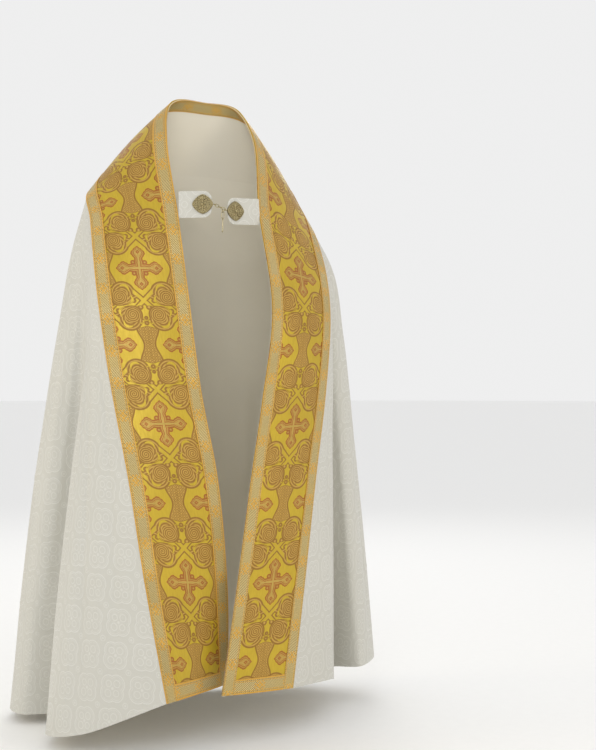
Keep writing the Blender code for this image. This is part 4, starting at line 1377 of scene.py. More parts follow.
@dataclass
class Hood:
    """The shield hood: its cloth, galloons and fringe."""

    sheet: HoodSheet
    columns: int = 81
    rows: int = 61
    trim_lift: float = HOOD_LIFT + HOOD_CLOTH + SEAM_GAP
    trim_lines: int = 5
    cloth_area: float = 0.205
    # The fringe's cords: spacing, size, length and how much shorter they are at the hood's top.
    cord_pitch: float = 0.0036
    cord_radius: float = 0.00165
    cord_sides: int = 6
    cord_rings: int = 9
    cord_length: float = 0.062
    short_share: float = 0.55
    # How far the cords lean outwards beside the straight edges, and by how much of x lower down.
    side_lean: float = 0.014
    low_lean: float = 0.06
    # How far the twist moves on from one cord to the next.
    twist_step: float = 0.0011
    heading_inset: float = 0.0015
    heading_radius: float = 0.0021
    heading_sides: int = 7

    def build(self, lame: Any, trim: Any, fringe: Any, pieces: Sequence[Any]) -> None:
        angle = np.linspace(-math.pi / 2, math.pi / 2, self.columns)
        ends = HOOD_STRAIGHT + (HOOD_LENGTH - HOOD_STRAIGHT) * np.cos(angle)
        down = np.linspace(0, 1, self.rows)[:, None] * ends[None]
        across = np.sin(angle)[None] * hood_half_width(down)
        cloth = self.cloth(across, down, HOOD_LIFT + HOOD_CLOTH)
        hood = cloth.piece("hood_shield", "lame", lame, ["hood"], 0.0, HOOD_CLOTH)
        edging = [self.edge(trim), self.top(trim), self.fringe(fringe), self.heading(fringe)]

    def cloth(self, across: np.ndarray, down: np.ndarray, lift: float) -> Cloth:
        """Cloth over places on the sheet."""
        points, normals = self.sheet.place(across, down, np.full(across.shape, lift))
        return Cloth(points, normals, np.stack([across, down], axis=-1))

    def edge(self, trim: Any) -> Any:
        """The galloon along the curved edge."""
        insets = np.linspace(0.0, GALLOON_WIDTH, self.trim_lines)
        lines = np.array([hood_line(inset) for inset in insets])[:, 3:-3]
        cloth = self.cloth(lines[:, :, 0], lines[:, :, 1], self.trim_lift + GALLOON)
        along = np.broadcast_to(run_lengths(cloth.points[[2]], 1), lines.shape[:2])
        aside = np.broadcast_to((insets - GALLOON_WIDTH / 2)[:, None], along.shape)
        flat = np.stack([aside, along], axis=-1)
        return Cloth(cloth.points, cloth.normals, flat).trim("hood_edge", trim, "hood_edge_galloon", 0.0)

    def top(self, trim: Any) -> Any:
        """The galloon along the top, over the edge galloon's ends."""
        falls = np.linspace(0.0, GALLOON_WIDTH, self.trim_lines)
        share = np.linspace(-1, 1, self.columns)
        down = np.broadcast_to(falls[:, None], (self.trim_lines, self.columns))
        across = share[None] * hood_half_width(down)
        cloth = self.cloth(across, down, self.trim_lift + GALLOON + SEAM_GAP)
        along = np.broadcast_to(run_lengths(cloth.points[[2]], 1), across.shape)
        cloth.flat = np.stack([down - GALLOON_WIDTH / 2, along], axis=-1)
        return cloth.trim("hood_top", trim, "hood_top_galloon", 0.0)

    def fringe(self, material: Any) -> Any:
        """Twisted cords hanging from the curved edge."""
        line = hood_line(0.0)[4:-4]
        run = run_lengths(line[None], 1)[0]
        number = np.arange(int(run[-1] / self.cord_pitch))
        at = (number + 0.5) * self.cord_pitch
        x, down = np.interp(at, run, line[:, 0]), np.interp(at, run, line[:, 1])
        low = np.clip((down - HOOD_STRAIGHT) / (HOOD_LENGTH - HOOD_STRAIGHT), 0, 1)
        side = np.sign(x)
        reach = np.linspace(0, 1, self.cord_rings)[:, None]
        sway = np.sin(number * 12.9898) * 0.0016 + np.sin(number * 0.21) * 0.0014
        outwards = side * self.side_lean * (1 - low) + x * self.low_lean * low + sway
        swing = outwards * reach ** 1.4 * (0.4 + 0.6 * reach) - side * 0.004 * (1 - low) * (1 - reach)
        uneven = 0.97 + 0.06 * np.sin(number * 78.233)
        short = self.short_share + (1 - self.short_share) * low
        fall = self.cord_length * short * uneven * reach - 0.003 * low
        lift = HOOD_LIFT + 0.0018 + 0.0012 * (number % 2) + 0.0014 * np.sin(reach * 3)
        centre, normals = self.sheet.place(x + swing, down + fall, lift)
        along = unit(np.gradient(centre, axis=0))
        across = unit(np.cross(along, normals))
        taper = np.where(reach > 0.97, 0.55, 1.0) * (0.92 + 0.08 * np.cos(reach * 9))
        verts, faces, spots = self.tubes(centre, across, np.cross(across, along), self.cord_radius * taper,
                                         self.cord_sides)
        cord, ring, turn = spots.T
        v = run_lengths(centre, 0)[ring, cord] + cord * self.twist_step
        uv = np.stack([turn / self.cord_sides, v], axis=-1)
        return self.mesh_piece("fringe_cords", verts, faces, uv, material, ["hood_fringe"])

    def heading(self, material: Any) -> Any:
        """The braid cord that the fringe hangs from."""
        line = hood_line(self.heading_inset, 60, 24)[4:-4]
        centre, normals = self.sheet.place(line[:, 0], line[:, 1], np.full(len(line), HOOD_LIFT + 0.0032))
        across = unit(np.cross(unit(np.gradient(centre, axis=0)), normals))
        verts, faces, spots = self.tubes(centre[:, None], across[:, None], normals[:, None],
                                         np.array([[self.heading_radius]]), self.heading_sides)
        run = run_lengths(centre[None], 1)[0]
        uv = np.stack([spots[:, 2] / self.heading_sides, run[spots[:, 1]]], axis=-1)
        uv[-2 * self.heading_sides:, 0] = 0.0
        return self.mesh_piece("fringe_heading", verts, faces, uv, material, [])

    @staticmethod
    def tubes(centre: np.ndarray, across: np.ndarray, normals: np.ndarray, radius: np.ndarray,
              sides: int) -> tuple[np.ndarray, list[tuple[int, ...]], np.ndarray]:
        """Closed round cords along lines of points.

        Args:
            centre: Rings by cords of points.
            across: Directions across the cords, for each point.
            normals: Directions off the cloth, for each point.
            radius: Radii, for each ring and one or all cords.
            sides: Sides of a cord.

        Returns:
            The corners, the faces, and the cord, ring and turn of every face's corners in order.
        """
        rings, count = centre.shape[:2]
        turns = 2 * math.pi * np.arange(sides)[:, None] / sides
        rim = across[..., None, :] * np.cos(turns) + normals[..., None, :] * np.sin(turns)
        verts = centre[..., None, :] + rim * radius[..., None, None]
        faces, spots = [], []
        for n in range(count):
            base = n * rings * sides
            for r in range(rings - 1):
                for i in range(sides):
                    corners = ((r, i), (r, i + 1), (r + 1, i + 1), (r + 1, i))
                    faces.append(tuple(base + ring * sides + turn % sides for ring, turn in corners))
                    spots += [(n, ring, turn) for ring, turn in corners]
            for r in (0, rings - 1):
                cap = [base + r * sides + i for i in range(sides)]
                faces.append(tuple(cap if r else cap[::-1]))
                spots += [(n, r, i) for i in range(sides)]
        return verts.transpose(1, 0, 2, 3).reshape(-1, 3), faces, np.array(spots)

    @staticmethod
    def mesh_piece(name: str, verts: np.ndarray, faces: list[tuple[int, ...]], uv: np.ndarray,
                   material: Any, nodes: list[str]) -> Any:
        """A closed mesh from its corners and faces, facing outwards."""
        mesh = bpy.data.meshes.new(name)
        mesh.from_pydata(verts.tolist(), [], faces)
        layer = mesh.uv_layers.new(name="flat")
        layer.data.foreach_set("uv", uv.ravel())
        obj = add_object(name, mesh)
        tidy = bmesh.new()
        tidy.from_mesh(mesh)
        bmesh.ops.recalc_face_normals(tidy, faces=tidy.faces)
        tidy.to_mesh(mesh)
        tidy.free()
        mesh.shade_smooth()
        dress(obj, material)
        return ride(obj, name, nodes)


# ---------------------------------------------------------------- picture on the hood

class Thread(Enum):
    """Colours of the picture's cloths, as display values from 0 to 255."""

    WHITE = (242, 240, 234)
    SHADE = (196, 196, 204)
    CREAM = (226, 218, 190)
    GOLD = (205, 155, 50)
    SKIN = (222, 172, 132)
    BLUSH = (160, 98, 66)
    HAIR = (98, 56, 32)
    GREY = (168, 160, 150)
    LILAC = (184, 168, 186)
    VIOLET = (140, 122, 150)
    NAVY = (44, 58, 100)
    MAROON = (98, 26, 38)
    BLUE = (48, 134, 196)
    RED = (188, 26, 32)
    WINE = (120, 12, 22)
    OLIVE = (160, 126, 52)
    BRONZE = (112, 84, 34)
    SLATE = (112, 128, 156)
    EARTH = (126, 80, 40)
    SAND = (200, 178, 142)
    HALO = (206, 182, 96)
    RIM = (176, 146, 64)
    GREEN = (60, 124, 56)

    def linear(self) -> tuple[float, float, float]:
        """The colour as the shader takes it."""
        return tuple(((part / 255 + 0.055) / 1.055) ** 2.4 for part in self.value)


class Patch(NamedTuple):
    """A cut shape: its cloth, its layer and a few points of its smooth outline, in centimetres."""

    thread: Thread
    layer: int
    outline: tuple[tuple[float, float], ...]


class Stitch(NamedTuple):
    """A stitched line: its thread, its layer, its width in centimetres and the points it passes."""

    thread: Thread
    layer: int
    width: float
    points: tuple[tuple[float, float], ...]


class Disc(NamedTuple):
    """A round or oval shape: its cloth, layer, centre and half sizes in centimetres."""

    thread: Thread
    layer: int
    centre: tuple[float, float]
    radii: tuple[float, float]


T = Thread
STANDING_FIGURE = (
    Disc(T.RIM, 1, (0.3, 8.9), (3.5, 3.5)),
    Disc(T.HALO, 2, (0.3, 8.9), (3.2, 3.2)),
    *(Stitch(T.BLUE if turn == 0 else T.MAROON, 3, 0.26,
             tuple((0.3 + r * math.cos(math.radians(way + turn)),
                    8.9 - r * math.sin(math.radians(way + turn))) for r in (1.9, 3.1)))
      for way in (0, 90, 180) for turn in (-13, 0, 13)),
    Patch(T.WHITE, 2, ((-0.9, 11.9), (-2.8, 12.1), (-6.2, 10.2), (-9.0, 8.0), (-9.9, 9.0), (-9.3, 13.5),
                       (-8.7, 19.5), (-7.9, 25.5), (-6.6, 29.8), (-5.3, 27.5), (-4.3, 22.5), (-3.5, 19.8),
                       (-3.3, 27.5), (-2.8, 35.8), (0.2, 37.0), (3.0, 36.8), (5.0, 35.6), (4.4, 27.5), (4.1,
                       20.2), (5.1, 24.6), (6.5, 30.2), (7.9, 27.0), (8.9, 20.2), (9.6, 14.4), (10.2, 11.3),
                       (9.5, 10.3), (6.4, 11.2), (3.2, 12.3), (1.5, 11.9))),
    Patch(T.SKIN, 2, ((-9.3, 8.4), (-9.9, 7.5), (-10.9, 6.9), (-11.2, 6.1), (-10.3, 6.3), (-9.4, 6.9),
                      (-8.8, 7.9))),
    Patch(T.SKIN, 2, ((9.7, 10.8), (10.2, 9.6), (11.0, 8.8), (11.3, 8.0), (10.4, 8.2), (9.5, 9.2), (9.1,
                      10.3))),
    Patch(T.HAIR, 3, ((-1.35, 9.2), (-1.2, 7.7), (0.3, 6.8), (1.8, 7.7), (1.95, 9.2), (2.1, 11.4), (1.0,
                      12.3), (-0.4, 12.3), (-1.5, 11.4))),
    Patch(T.SKIN, 4, ((-0.55, 9.0), (-0.45, 7.9), (0.3, 7.4), (1.05, 7.9), (1.15, 9.0), (0.95, 10.4), (0.3,
                      11.0), (-0.35, 10.4))),
    Patch(T.HAIR, 5, ((-0.55, 9.8), (-0.1, 10.05), (0.3, 9.98), (0.7, 10.05), (1.15, 9.8), (0.85, 11.1),
                      (0.3, 11.6), (-0.25, 11.1))),
    Stitch(T.BLUSH, 6, 0.12, ((-0.02, 10.3), (0.3, 10.36), (0.62, 10.3))),
    Stitch(T.BLUSH, 5, 0.10, ((0.33, 8.9), (0.36, 9.4), (0.22, 9.6))),
    *(Stitch(T.HAIR, 5, 0.13, ((x - 0.17, 8.93), (x, 8.85), (x + 0.17, 8.93))) for x in (-0.08, 0.68)),
    *(Stitch(T.HAIR, 5, 0.09, ((x - 0.22, 8.60), (x, 8.50), (x + 0.22, 8.60))) for x in (-0.08, 0.68)),
    Patch(T.CREAM, 4, ((-2.1, 12.5), (-1.2, 12.3), (0.5, 14.9), (2.2, 12.3), (3.1, 12.6), (1.5, 16.2),
                       (1.45, 24.0), (1.5, 33.2), (-0.5, 33.2), (-0.45, 24.0), (-0.5, 16.2))),
    *(Stitch(T.NAVY, 5, 0.34, ((0.5, down - 0.62), (0.5, down + 0.62))) for down in (17.6, 22.4, 29.6)),
    *(Stitch(T.NAVY, 5, 0.34, ((-0.10, down - 0.1), (1.10, down - 0.1))) for down in (17.6, 22.4, 29.6)),
    *(Stitch(T.BRONZE, 5, 0.28, ((-0.4, down), (1.4, down))) for down in (31.9, 32.6)),
    *(Stitch(T.GOLD, 3, 1.10, ((x - 0.85, 20.1), (x + 0.85, 19.9))) for x in (-1.9, 2.9)),
    *(Stitch(T.GOLD, 3, 0.50, points) for points in (
        ((-9.7, 9.6), (-9.2, 14.0), (-8.7, 19.0)), ((9.9, 11.9), (9.3, 15.0), (8.7, 20.0)))),
    *(Stitch(T.SHADE, 3, width, points) for width, points in (
        (0.26, ((-1.6, 13.6), (-2.2, 20.0), (-2.3, 28.0), (-2.0, 35.6))),
        (0.20, ((-1.0, 17.0), (-1.2, 25.0), (-1.0, 36.0))),
        (0.24, ((2.5, 13.6), (3.1, 20.0), (3.3, 28.0), (3.9, 35.4))),
        (0.20, ((2.0, 18.0), (2.2, 26.0), (2.4, 36.2))),
        (0.22, ((-3.6, 12.9), (-5.2, 17.0), (-6.4, 23.0), (-6.6, 28.6))),
        (0.20, ((-4.9, 12.0), (-6.8, 16.0), (-7.7, 22.0))),
        (0.18, ((-6.6, 11.0), (-8.0, 14.0), (-8.4, 18.0))),
        (0.22, ((4.2, 13.1), (5.6, 17.0), (6.5, 23.0), (6.6, 29.0))),
        (0.20, ((5.6, 12.4), (7.2, 16.0), (7.8, 22.0))),
        (0.18, ((7.3, 11.7), (8.5, 14.0), (8.8, 18.0))), (0.16, ((0.1, 34.0), (0.3, 36.6))),
        (0.18, ((-3.5, 19.8), (-3.0, 15.4), (-2.6, 13.4))), (0.18, ((4.1, 20.2), (3.7, 16.0), (3.4, 13.6))))),
    *(Stitch(T.GOLD, 5, 0.20, ((x - 0.9, 33.6), (x, 33.1), (x + 0.9, 33.6), (x, 34.1), (x - 0.9, 33.6)))
      for x in (-1.6, 2.8)),
    Patch(T.SKIN, 2, ((-0.9, 36.2), (0.1, 36.4), (0.2, 37.8), (-0.5, 38.2), (-1.1, 37.6))),
    Patch(T.SKIN, 2, ((1.6, 36.4), (2.6, 36.2), (2.9, 37.5), (2.2, 38.1), (1.6, 37.7))),
)
MOUND = (
    Patch(T.EARTH, 1, ((-6.6, 41.2), (-4.6, 39.4), (-1.0, 38.2), (3.5, 38.0), (8.0, 39.0), (11.2, 41.2),
                       (10.8, 45.8), (2.0, 46.5), (-5.0, 46.0), (-6.9, 44.0))),
    Disc(T.SAND, 2, (1.6, 39.7), (4.6, 1.15)),
    Stitch(T.BRONZE, 2, 0.35, ((-5.4, 42.6), (-2.0, 41.6), (1.0, 42.4), (3.4, 41.4))),
    Stitch(T.BRONZE, 2, 0.30, ((-4.8, 44.6), (-1.0, 43.6), (1.6, 44.6))),
    *(Patch(T.GREEN, 3, ((-3.4, 45.2), (-3.4 + side * 0.9, 44.4), (-3.4 + side * 1.5, 43.4),
                         (-3.4 + side * 0.4, 43.9)))
      for side in (-1, 1)),
    Stitch(T.GREEN, 3, 0.3, ((-3.4, 45.4), (-3.5, 43.2))),
)
LEFT_FIGURE = (
    Disc(T.RIM, 1, (-17.2, 14.2), (3.3, 3.3)),
    Disc(T.HALO, 2, (-17.2, 14.2), (2.9, 2.9)),
    Stitch(T.BRONZE, 2, 0.42, ((-20.9, 33.0), (-20.9, 24.0), (-20.8, 15.5), (-20.6, 12.4), (-19.8, 11.2),
                               (-18.9, 11.8), (-19.3, 12.8))),
    Patch(T.MAROON, 1, ((-19.8, 30.0), (-17.0, 33.0), (-14.0, 33.0), (-13.0, 36.0), (-13.8, 39.8), (-16.5,
                        37.6), (-18.8, 34.4))),
    Patch(T.LILAC, 3, ((-19.6, 17.4), (-17.4, 16.4), (-15.0, 16.8), (-13.2, 18.2), (-12.4, 22.0), (-12.3,
                       27.5), (-12.8, 33.0), (-15.2, 34.2), (-17.8, 33.0), (-20.0, 30.6), (-21.2, 26.0),
                       (-21.0, 21.0))),
    Patch(T.VIOLET, 4, ((-18.6, 20.4), (-17.6, 20.8), (-17.2, 26.0), (-17.8, 31.6), (-18.8, 30.4), (-18.9,
                        25.0))),
    *(Stitch(T.VIOLET, 4, 0.24, points) for points in (
        ((-16.0, 18.6), (-15.4, 24.0), (-15.6, 32.8)), ((-14.2, 19.2), (-13.6, 24.0), (-13.9, 31.8)),
        ((-19.8, 19.0), (-20.1, 24.0), (-19.8, 28.6)), ((-17.0, 22.0), (-14.8, 23.6), (-12.8, 23.0)),
        ((-16.9, 27.0), (-14.8, 29.0), (-13.0, 28.6)))),
    Patch(T.WHITE, 4, ((-19.3, 14.4), (-18.6, 12.4), (-16.9, 11.8), (-15.5, 12.9), (-15.5, 14.6), (-16.2,
                       17.6), (-17.8, 18.6), (-19.6, 18.4))),
    Patch(T.SKIN, 5, ((-16.9, 13.4), (-15.9, 12.9), (-15.2, 13.6), (-15.2, 15.0), (-15.9, 16.0), (-16.7,
                      15.6))),
    Patch(T.GREY, 6, ((-16.5, 15.1), (-15.7, 15.1), (-15.1, 15.0), (-15.1, 16.2), (-15.8, 17.4), (-16.5,
                      16.4))),
    Stitch(T.HAIR, 6, 0.12, ((-16.0, 14.1), (-15.7, 14.04), (-15.4, 14.1))),
    Patch(T.SKIN, 5, ((-13.4, 21.6), (-12.1, 21.2), (-11.2, 21.0), (-11.3, 21.8), (-12.4, 22.4), (-13.4,
                      22.6))),
    Patch(T.WHITE, 4, ((-12.0, 20.8), (-10.4, 20.2), (-8.9, 20.6), (-8.8, 24.2), (-9.3, 27.6), (-10.2,
                       29.2), (-11.3, 27.4), (-11.9, 24.4))),
    Patch(T.NAVY, 5, ((-11.5, 19.0), (-9.4, 19.0), (-9.4, 20.9), (-11.5, 20.9))),
    Disc(T.GOLD, 4, (-10.4, 19.2), (1.5, 1.2)),
    *(Stitch(T.SHADE, 5, 0.18, ((x, 21.6), (x * 0.99 - 0.05, 26.6))) for x in (-11.1, -10.3, -9.6)),
)
RIGHT_FIGURE = (
    Disc(T.RIM, 1, (15.4, 17.4), (2.7, 2.7)),
    Disc(T.HALO, 2, (15.4, 17.4), (2.3, 2.3)),
    Patch(T.SLATE, 2, ((12.0, 30.6), (13.0, 27.0), (19.6, 27.0), (19.4, 31.8), (17.0, 35.6), (13.4, 36.4),
                       (11.4, 34.8))),
    Patch(T.OLIVE, 3, ((13.6, 20.8), (15.4, 20.0), (17.6, 20.6), (19.6, 22.8), (20.2, 27.0), (19.4, 31.0),
                       (17.0, 32.6), (15.0, 35.4), (12.0, 34.8), (11.0, 33.0), (12.6, 28.6), (13.0, 24.6))),
    Patch(T.SLATE, 4, ((13.6, 21.6), (14.6, 22.4), (13.8, 25.2), (12.0, 26.6), (10.4, 27.0), (10.2, 25.8),
                       (12.2, 24.4))),
    Patch(T.SKIN, 4, ((10.6, 26.8), (10.3, 25.9), (9.2, 25.6), (8.2, 25.3), (9.0, 26.4), (9.6, 27.0))),
    *(Stitch(T.BRONZE, 4, 0.24, points) for points in (
        ((14.6, 23.6), (15.0, 28.0), (13.6, 33.6)), ((16.6, 25.6), (16.8, 29.0), (15.2, 33.4)),
        ((18.4, 25.4), (18.4, 28.4), (17.4, 31.4)), ((13.4, 27.4), (13.0, 30.4), (12.2, 33.2)))),
    *(Stitch(T.NAVY, 3, 0.24, points) for points in (
        ((13.4, 35.6), (16.0, 34.2), (18.4, 31.4)), ((14.6, 36.0), (16.8, 34.6), (18.8, 32.4)))),
    Patch(T.WHITE, 5, ((15.1, 24.6), (14.9, 21.2), (15.1, 19.9), (15.9, 19.5), (16.6, 20.2), (16.7, 24.5))),
    Patch(T.WHITE, 5, ((16.8, 24.5), (16.8, 20.4), (17.3, 19.6), (18.1, 19.8), (18.5, 20.9), (18.6, 24.2))),
    *(Stitch(T.SHADE, 6, 0.13, ((x, down), (x + 1.0, down))) for x in (15.3, 17.2)
      for down in (21.2, 22.0, 22.8, 23.6)),
    Patch(T.GREY, 4, ((14.0, 17.4), (14.2, 15.9), (15.4, 15.2), (16.7, 16.0), (16.9, 17.8), (16.5, 19.4),
                      (15.2, 20.4), (14.2, 19.6))),
    Patch(T.SKIN, 5, ((14.2, 17.2), (14.7, 16.4), (15.6, 16.4), (16.1, 17.2), (15.8, 18.4), (14.9, 18.7),
                      (14.2, 18.2))),
    Stitch(T.HAIR, 6, 0.12, ((14.4, 17.3), (14.65, 17.22), (14.9, 17.3))),
    Patch(T.SKIN, 6, ((17.0, 24.8), (18.0, 24.0), (19.0, 24.0), (18.6, 25.0), (17.4, 25.4))),
    Patch(T.RED, 3, ((10.5, 16.6), (11.1, 18.2), (10.9, 19.2), (11.6, 20.4), (11.3, 22.0), (10.5, 22.6),
                     (9.7, 22.0), (9.5, 20.6), (10.1, 19.2), (9.9, 18.2))),
    Patch(T.GOLD, 4, ((10.5, 18.8), (10.8, 20.2), (10.9, 21.2), (10.5, 21.9), (10.1, 21.2), (10.2, 20.2))),
)
KNEELING_FIGURES = (
    Disc(T.RIM, 1, (-12.0, 35.2), (3.2, 3.2)),
    Disc(T.HALO, 2, (-12.0, 35.2), (2.8, 2.8)),
    Patch(T.BLUE, 3, ((-13.6, 38.4), (-12.0, 37.2), (-9.6, 37.4), (-7.4, 35.8), (-6.4, 36.4), (-7.2, 39.2),
                      (-6.6, 43.0), (-6.8, 45.6), (-10.4, 44.6), (-13.6, 41.6))),
    *(Stitch(T.NAVY, 4, 0.26, points) for points in (
        ((-11.6, 38.6), (-9.6, 39.6), (-8.0, 39.0)), ((-12.4, 40.0), (-10.0, 41.8), (-7.6, 42.4)),
        ((-9.6, 43.6), (-8.6, 41.0), (-7.6, 37.6)))),
    Stitch(T.WHITE, 4, 0.62, ((-13.0, 39.4), (-10.8, 42.2), (-8.6, 44.4))),
    Patch(T.HAIR, 4, ((-13.9, 36.4), (-14.0, 34.4), (-12.4, 33.0), (-10.8, 33.6), (-10.2, 35.2), (-10.8,
                      37.0), (-12.2, 38.2), (-13.4, 37.8))),
    Patch(T.SKIN, 5, ((-11.3, 34.6), (-10.2, 34.2), (-9.7, 35.2), (-10.1, 36.4), (-11.0, 36.8))),
    *(Patch(T.SKIN, 4, tuple((x + dx, down + dy) for dx, dy in (
        (-0.5, 2.2), (-0.7, 0.8), (-0.9, -0.6), (-0.1, -1.2), (0.7, -0.7), (0.5, 0.6), (0.3, 2.1))))
      for x, down in ((-7.2, 34.4), (-5.2, 35.0))),
    Disc(T.RIM, 1, (8.8, 38.6), (3.0, 3.0)),
    Disc(T.HALO, 2, (8.8, 38.6), (2.6, 2.6)),
    Patch(T.RED, 3, ((4.0, 41.6), (6.0, 40.4), (8.4, 40.6), (10.6, 41.6), (11.6, 43.6), (10.8, 46.4), (6.4,
                     46.8), (4.2, 44.6))),
    *(Stitch(T.WINE, 4, 0.34, points) for points in (
        ((5.0, 42.0), (6.4, 43.6), (6.6, 45.6)), ((7.0, 41.6), (8.2, 43.2), (8.4, 45.2)),
        ((9.4, 42.0), (10.0, 43.4), (9.8, 44.6)))),
    Patch(T.OLIVE, 4, ((4.6, 41.0), (5.8, 41.8), (5.0, 43.6), (3.0, 44.4), (2.0, 44.0), (3.0, 42.6))),
    Patch(T.SKIN, 5, ((2.6, 43.6), (1.6, 43.2), (0.5, 43.6), (0.4, 44.2), (1.6, 44.6), (2.4, 44.4))),
    Patch(T.SKIN, 4, ((4.6, 41.0), (4.2, 39.8), (4.4, 38.8), (5.2, 38.8), (5.6, 39.8), (5.6, 40.8))),
    Patch(T.GREY, 4, ((7.2, 38.8), (7.4, 37.2), (8.8, 36.4), (10.2, 37.2), (10.6, 39.0), (10.0, 40.8), (8.6,
                      41.2), (7.6, 40.2))),
    Patch(T.SKIN, 5, ((7.1, 38.4), (7.9, 37.8), (8.5, 38.6), (8.3, 39.9), (7.5, 40.1), (7.0, 39.4))),
    Disc(T.RIM, 1, (14.4, 37.6), (2.6, 2.6)),
    Disc(T.HALO, 2, (14.4, 37.6), (2.2, 2.2)),
    Patch(T.NAVY, 3, ((11.8, 40.2), (13.2, 39.6), (15.2, 39.2), (15.4, 40.4), (13.8, 42.2), (11.8, 43.2),
                      (10.8, 42.6))),
    Patch(T.HAIR, 4, ((12.8, 38.6), (12.8, 36.8), (14.2, 35.8), (15.6, 36.6), (15.8, 38.4), (14.8, 39.8),
                      (13.4, 39.8))),
    Patch(T.SKIN, 5, ((12.6, 38.2), (13.2, 37.4), (13.9, 37.9), (13.8, 39.2), (13.1, 39.6))),
    Stitch(T.SLATE, 4, 0.24, ((12.0, 41.6), (13.4, 41.0), (14.6, 40.2))),
)


def closed_curve(points: Sequence[tuple[float, float]], between: int = 5) -> np.ndarray:
    """A smooth closed line through points."""
    ends = np.array(points)
    before, after, beyond = np.roll(ends, 1, 0), np.roll(ends, -1, 0), np.roll(ends, -2, 0)
    s = np.linspace(0, 1, between, endpoint=False)[None, :, None]
    line = 0.5 * ((2 * ends[:, None]) + (after - before)[:, None] * s
                  + (2 * before - 5 * ends + 4 * after - beyond)[:, None] * s ** 2
                  + (3 * ends - before - 3 * after + beyond)[:, None] * s ** 3)
    return line.reshape(-1, 2)


@dataclass
class Picture:
    """The picture on the hood, in cut and stitched cloths."""

    sheet: HoodSheet
    cell: float = 0.012
    base_lift: float = HOOD_LIFT + HOOD_CLOTH + 0.0002
    layer_rise: float = 0.00045
    cloth: float = 0.0005
    margin: float = GALLOON_WIDTH + 0.0008

    def outline(self, shape: Any) -> np.ndarray:
        """The closed outline of a shape, in metres."""
        if isinstance(shape, Patch):
            return closed_curve(shape.outline) / CM
        if isinstance(shape, Disc):
            turn = 2 * np.pi * np.arange(32) / 32
            return (np.array(shape.centre) + np.stack([np.cos(turn), np.sin(turn)], -1) * shape.radii) / CM
        knots = np.arange(len(shape.points))
        line = smooth(knots, shape.points, np.linspace(0, knots[-1], 5 * knots[-1] + 1))
        along = unit(np.gradient(line, axis=0))
        side = np.stack([-along[:, 1], along[:, 0]], -1)
        taper = np.sin(np.linspace(0.25, math.pi - 0.25, len(line)))[:, None] ** 0.5 * shape.width / 2
        return np.concatenate([line + side * taper, (line - side * taper)[::-1]]) / CM

    def cut(self, mesh: Any, shape: Any) -> None:
        """Add one filled shape to a flat mesh, its layer as its height."""
        height = shape.layer * self.layer_rise
        corners = [mesh.verts.new((x, down, height)) for x, down in self.outline(shape)]
        face = mesh.faces.new(corners)
        face.normal_update()
        if face.normal.z > 0:
            face.normal_flip()
        bmesh.ops.triangulate(mesh, faces=[face])

    def kept_in(self, x: np.ndarray, down: np.ndarray) -> tuple[np.ndarray, np.ndarray]:
        """Places drawn in to the inside of the edge galloon."""
        half = HOOD_HALF_WIDTH - self.margin
        drop = HOOD_LENGTH - HOOD_STRAIGHT - self.margin
        below = np.maximum(down - HOOD_STRAIGHT, 0.0)
        share = np.maximum(np.hypot(x / half, below / drop), 1.0)
        inside_down = np.where(below > 0, HOOD_STRAIGHT + below / share, down)
        return x / share, inside_down

    def build(self) -> list[Any]:
        """Build every cloth of the picture, one piece a colour."""
        shapes = (*MOUND, *LEFT_FIGURE, *RIGHT_FIGURE, *STANDING_FIGURE, *KNEELING_FIGURES)
        return [self.colour_piece(thread, [shape for shape in shapes if shape.thread is thread])
                for thread in Thread]

    def colour_piece(self, thread: Thread, shapes: list[Any]) -> Any:
        """All the shapes of one colour."""
        flat = bmesh.new()
        for shape in shapes:
            self.cut(flat, shape)
        for normal, count in (((1, 0, 0), 20), ((0, 1, 0), 42)):
            for step in range(-count, count + 1):
                place = tuple(part * step * self.cell for part in normal)
                bmesh.ops.bisect_plane(flat, geom=flat.verts[:] + flat.edges[:] + flat.faces[:],
                                       dist=1e-7, plane_co=place, plane_no=normal)
        places = np.array([vert.co for vert in flat.verts])
        x, down = self.kept_in(places[:, 0], places[:, 1])
        points, _ = self.sheet.place(-x, down, self.base_lift + self.cloth + places[:, 2])
        layer = flat.loops.layers.uv.new("flat")
        for face in flat.faces:
            for loop in face.loops:
                loop[layer].uv = loop.vert.co.xy
        for vert, point in zip(flat.verts, points.tolist()):
            vert.co = point
        bmesh.ops.dissolve_degenerate(flat, dist=2e-5, edges=flat.edges[:])
        name = f"picture_{thread.name.lower()}"
        mesh = bpy.data.meshes.new(name)
        flat.to_mesh(mesh)
        flat.free()
        obj = add_object(name, mesh)
        give_wall(obj, self.cloth)
        dress(obj, Applique(f"thread_{thread.name.lower()}", thread.linear()).make())
        return ride(obj, name)


# ---------------------------------------------------------------- morse

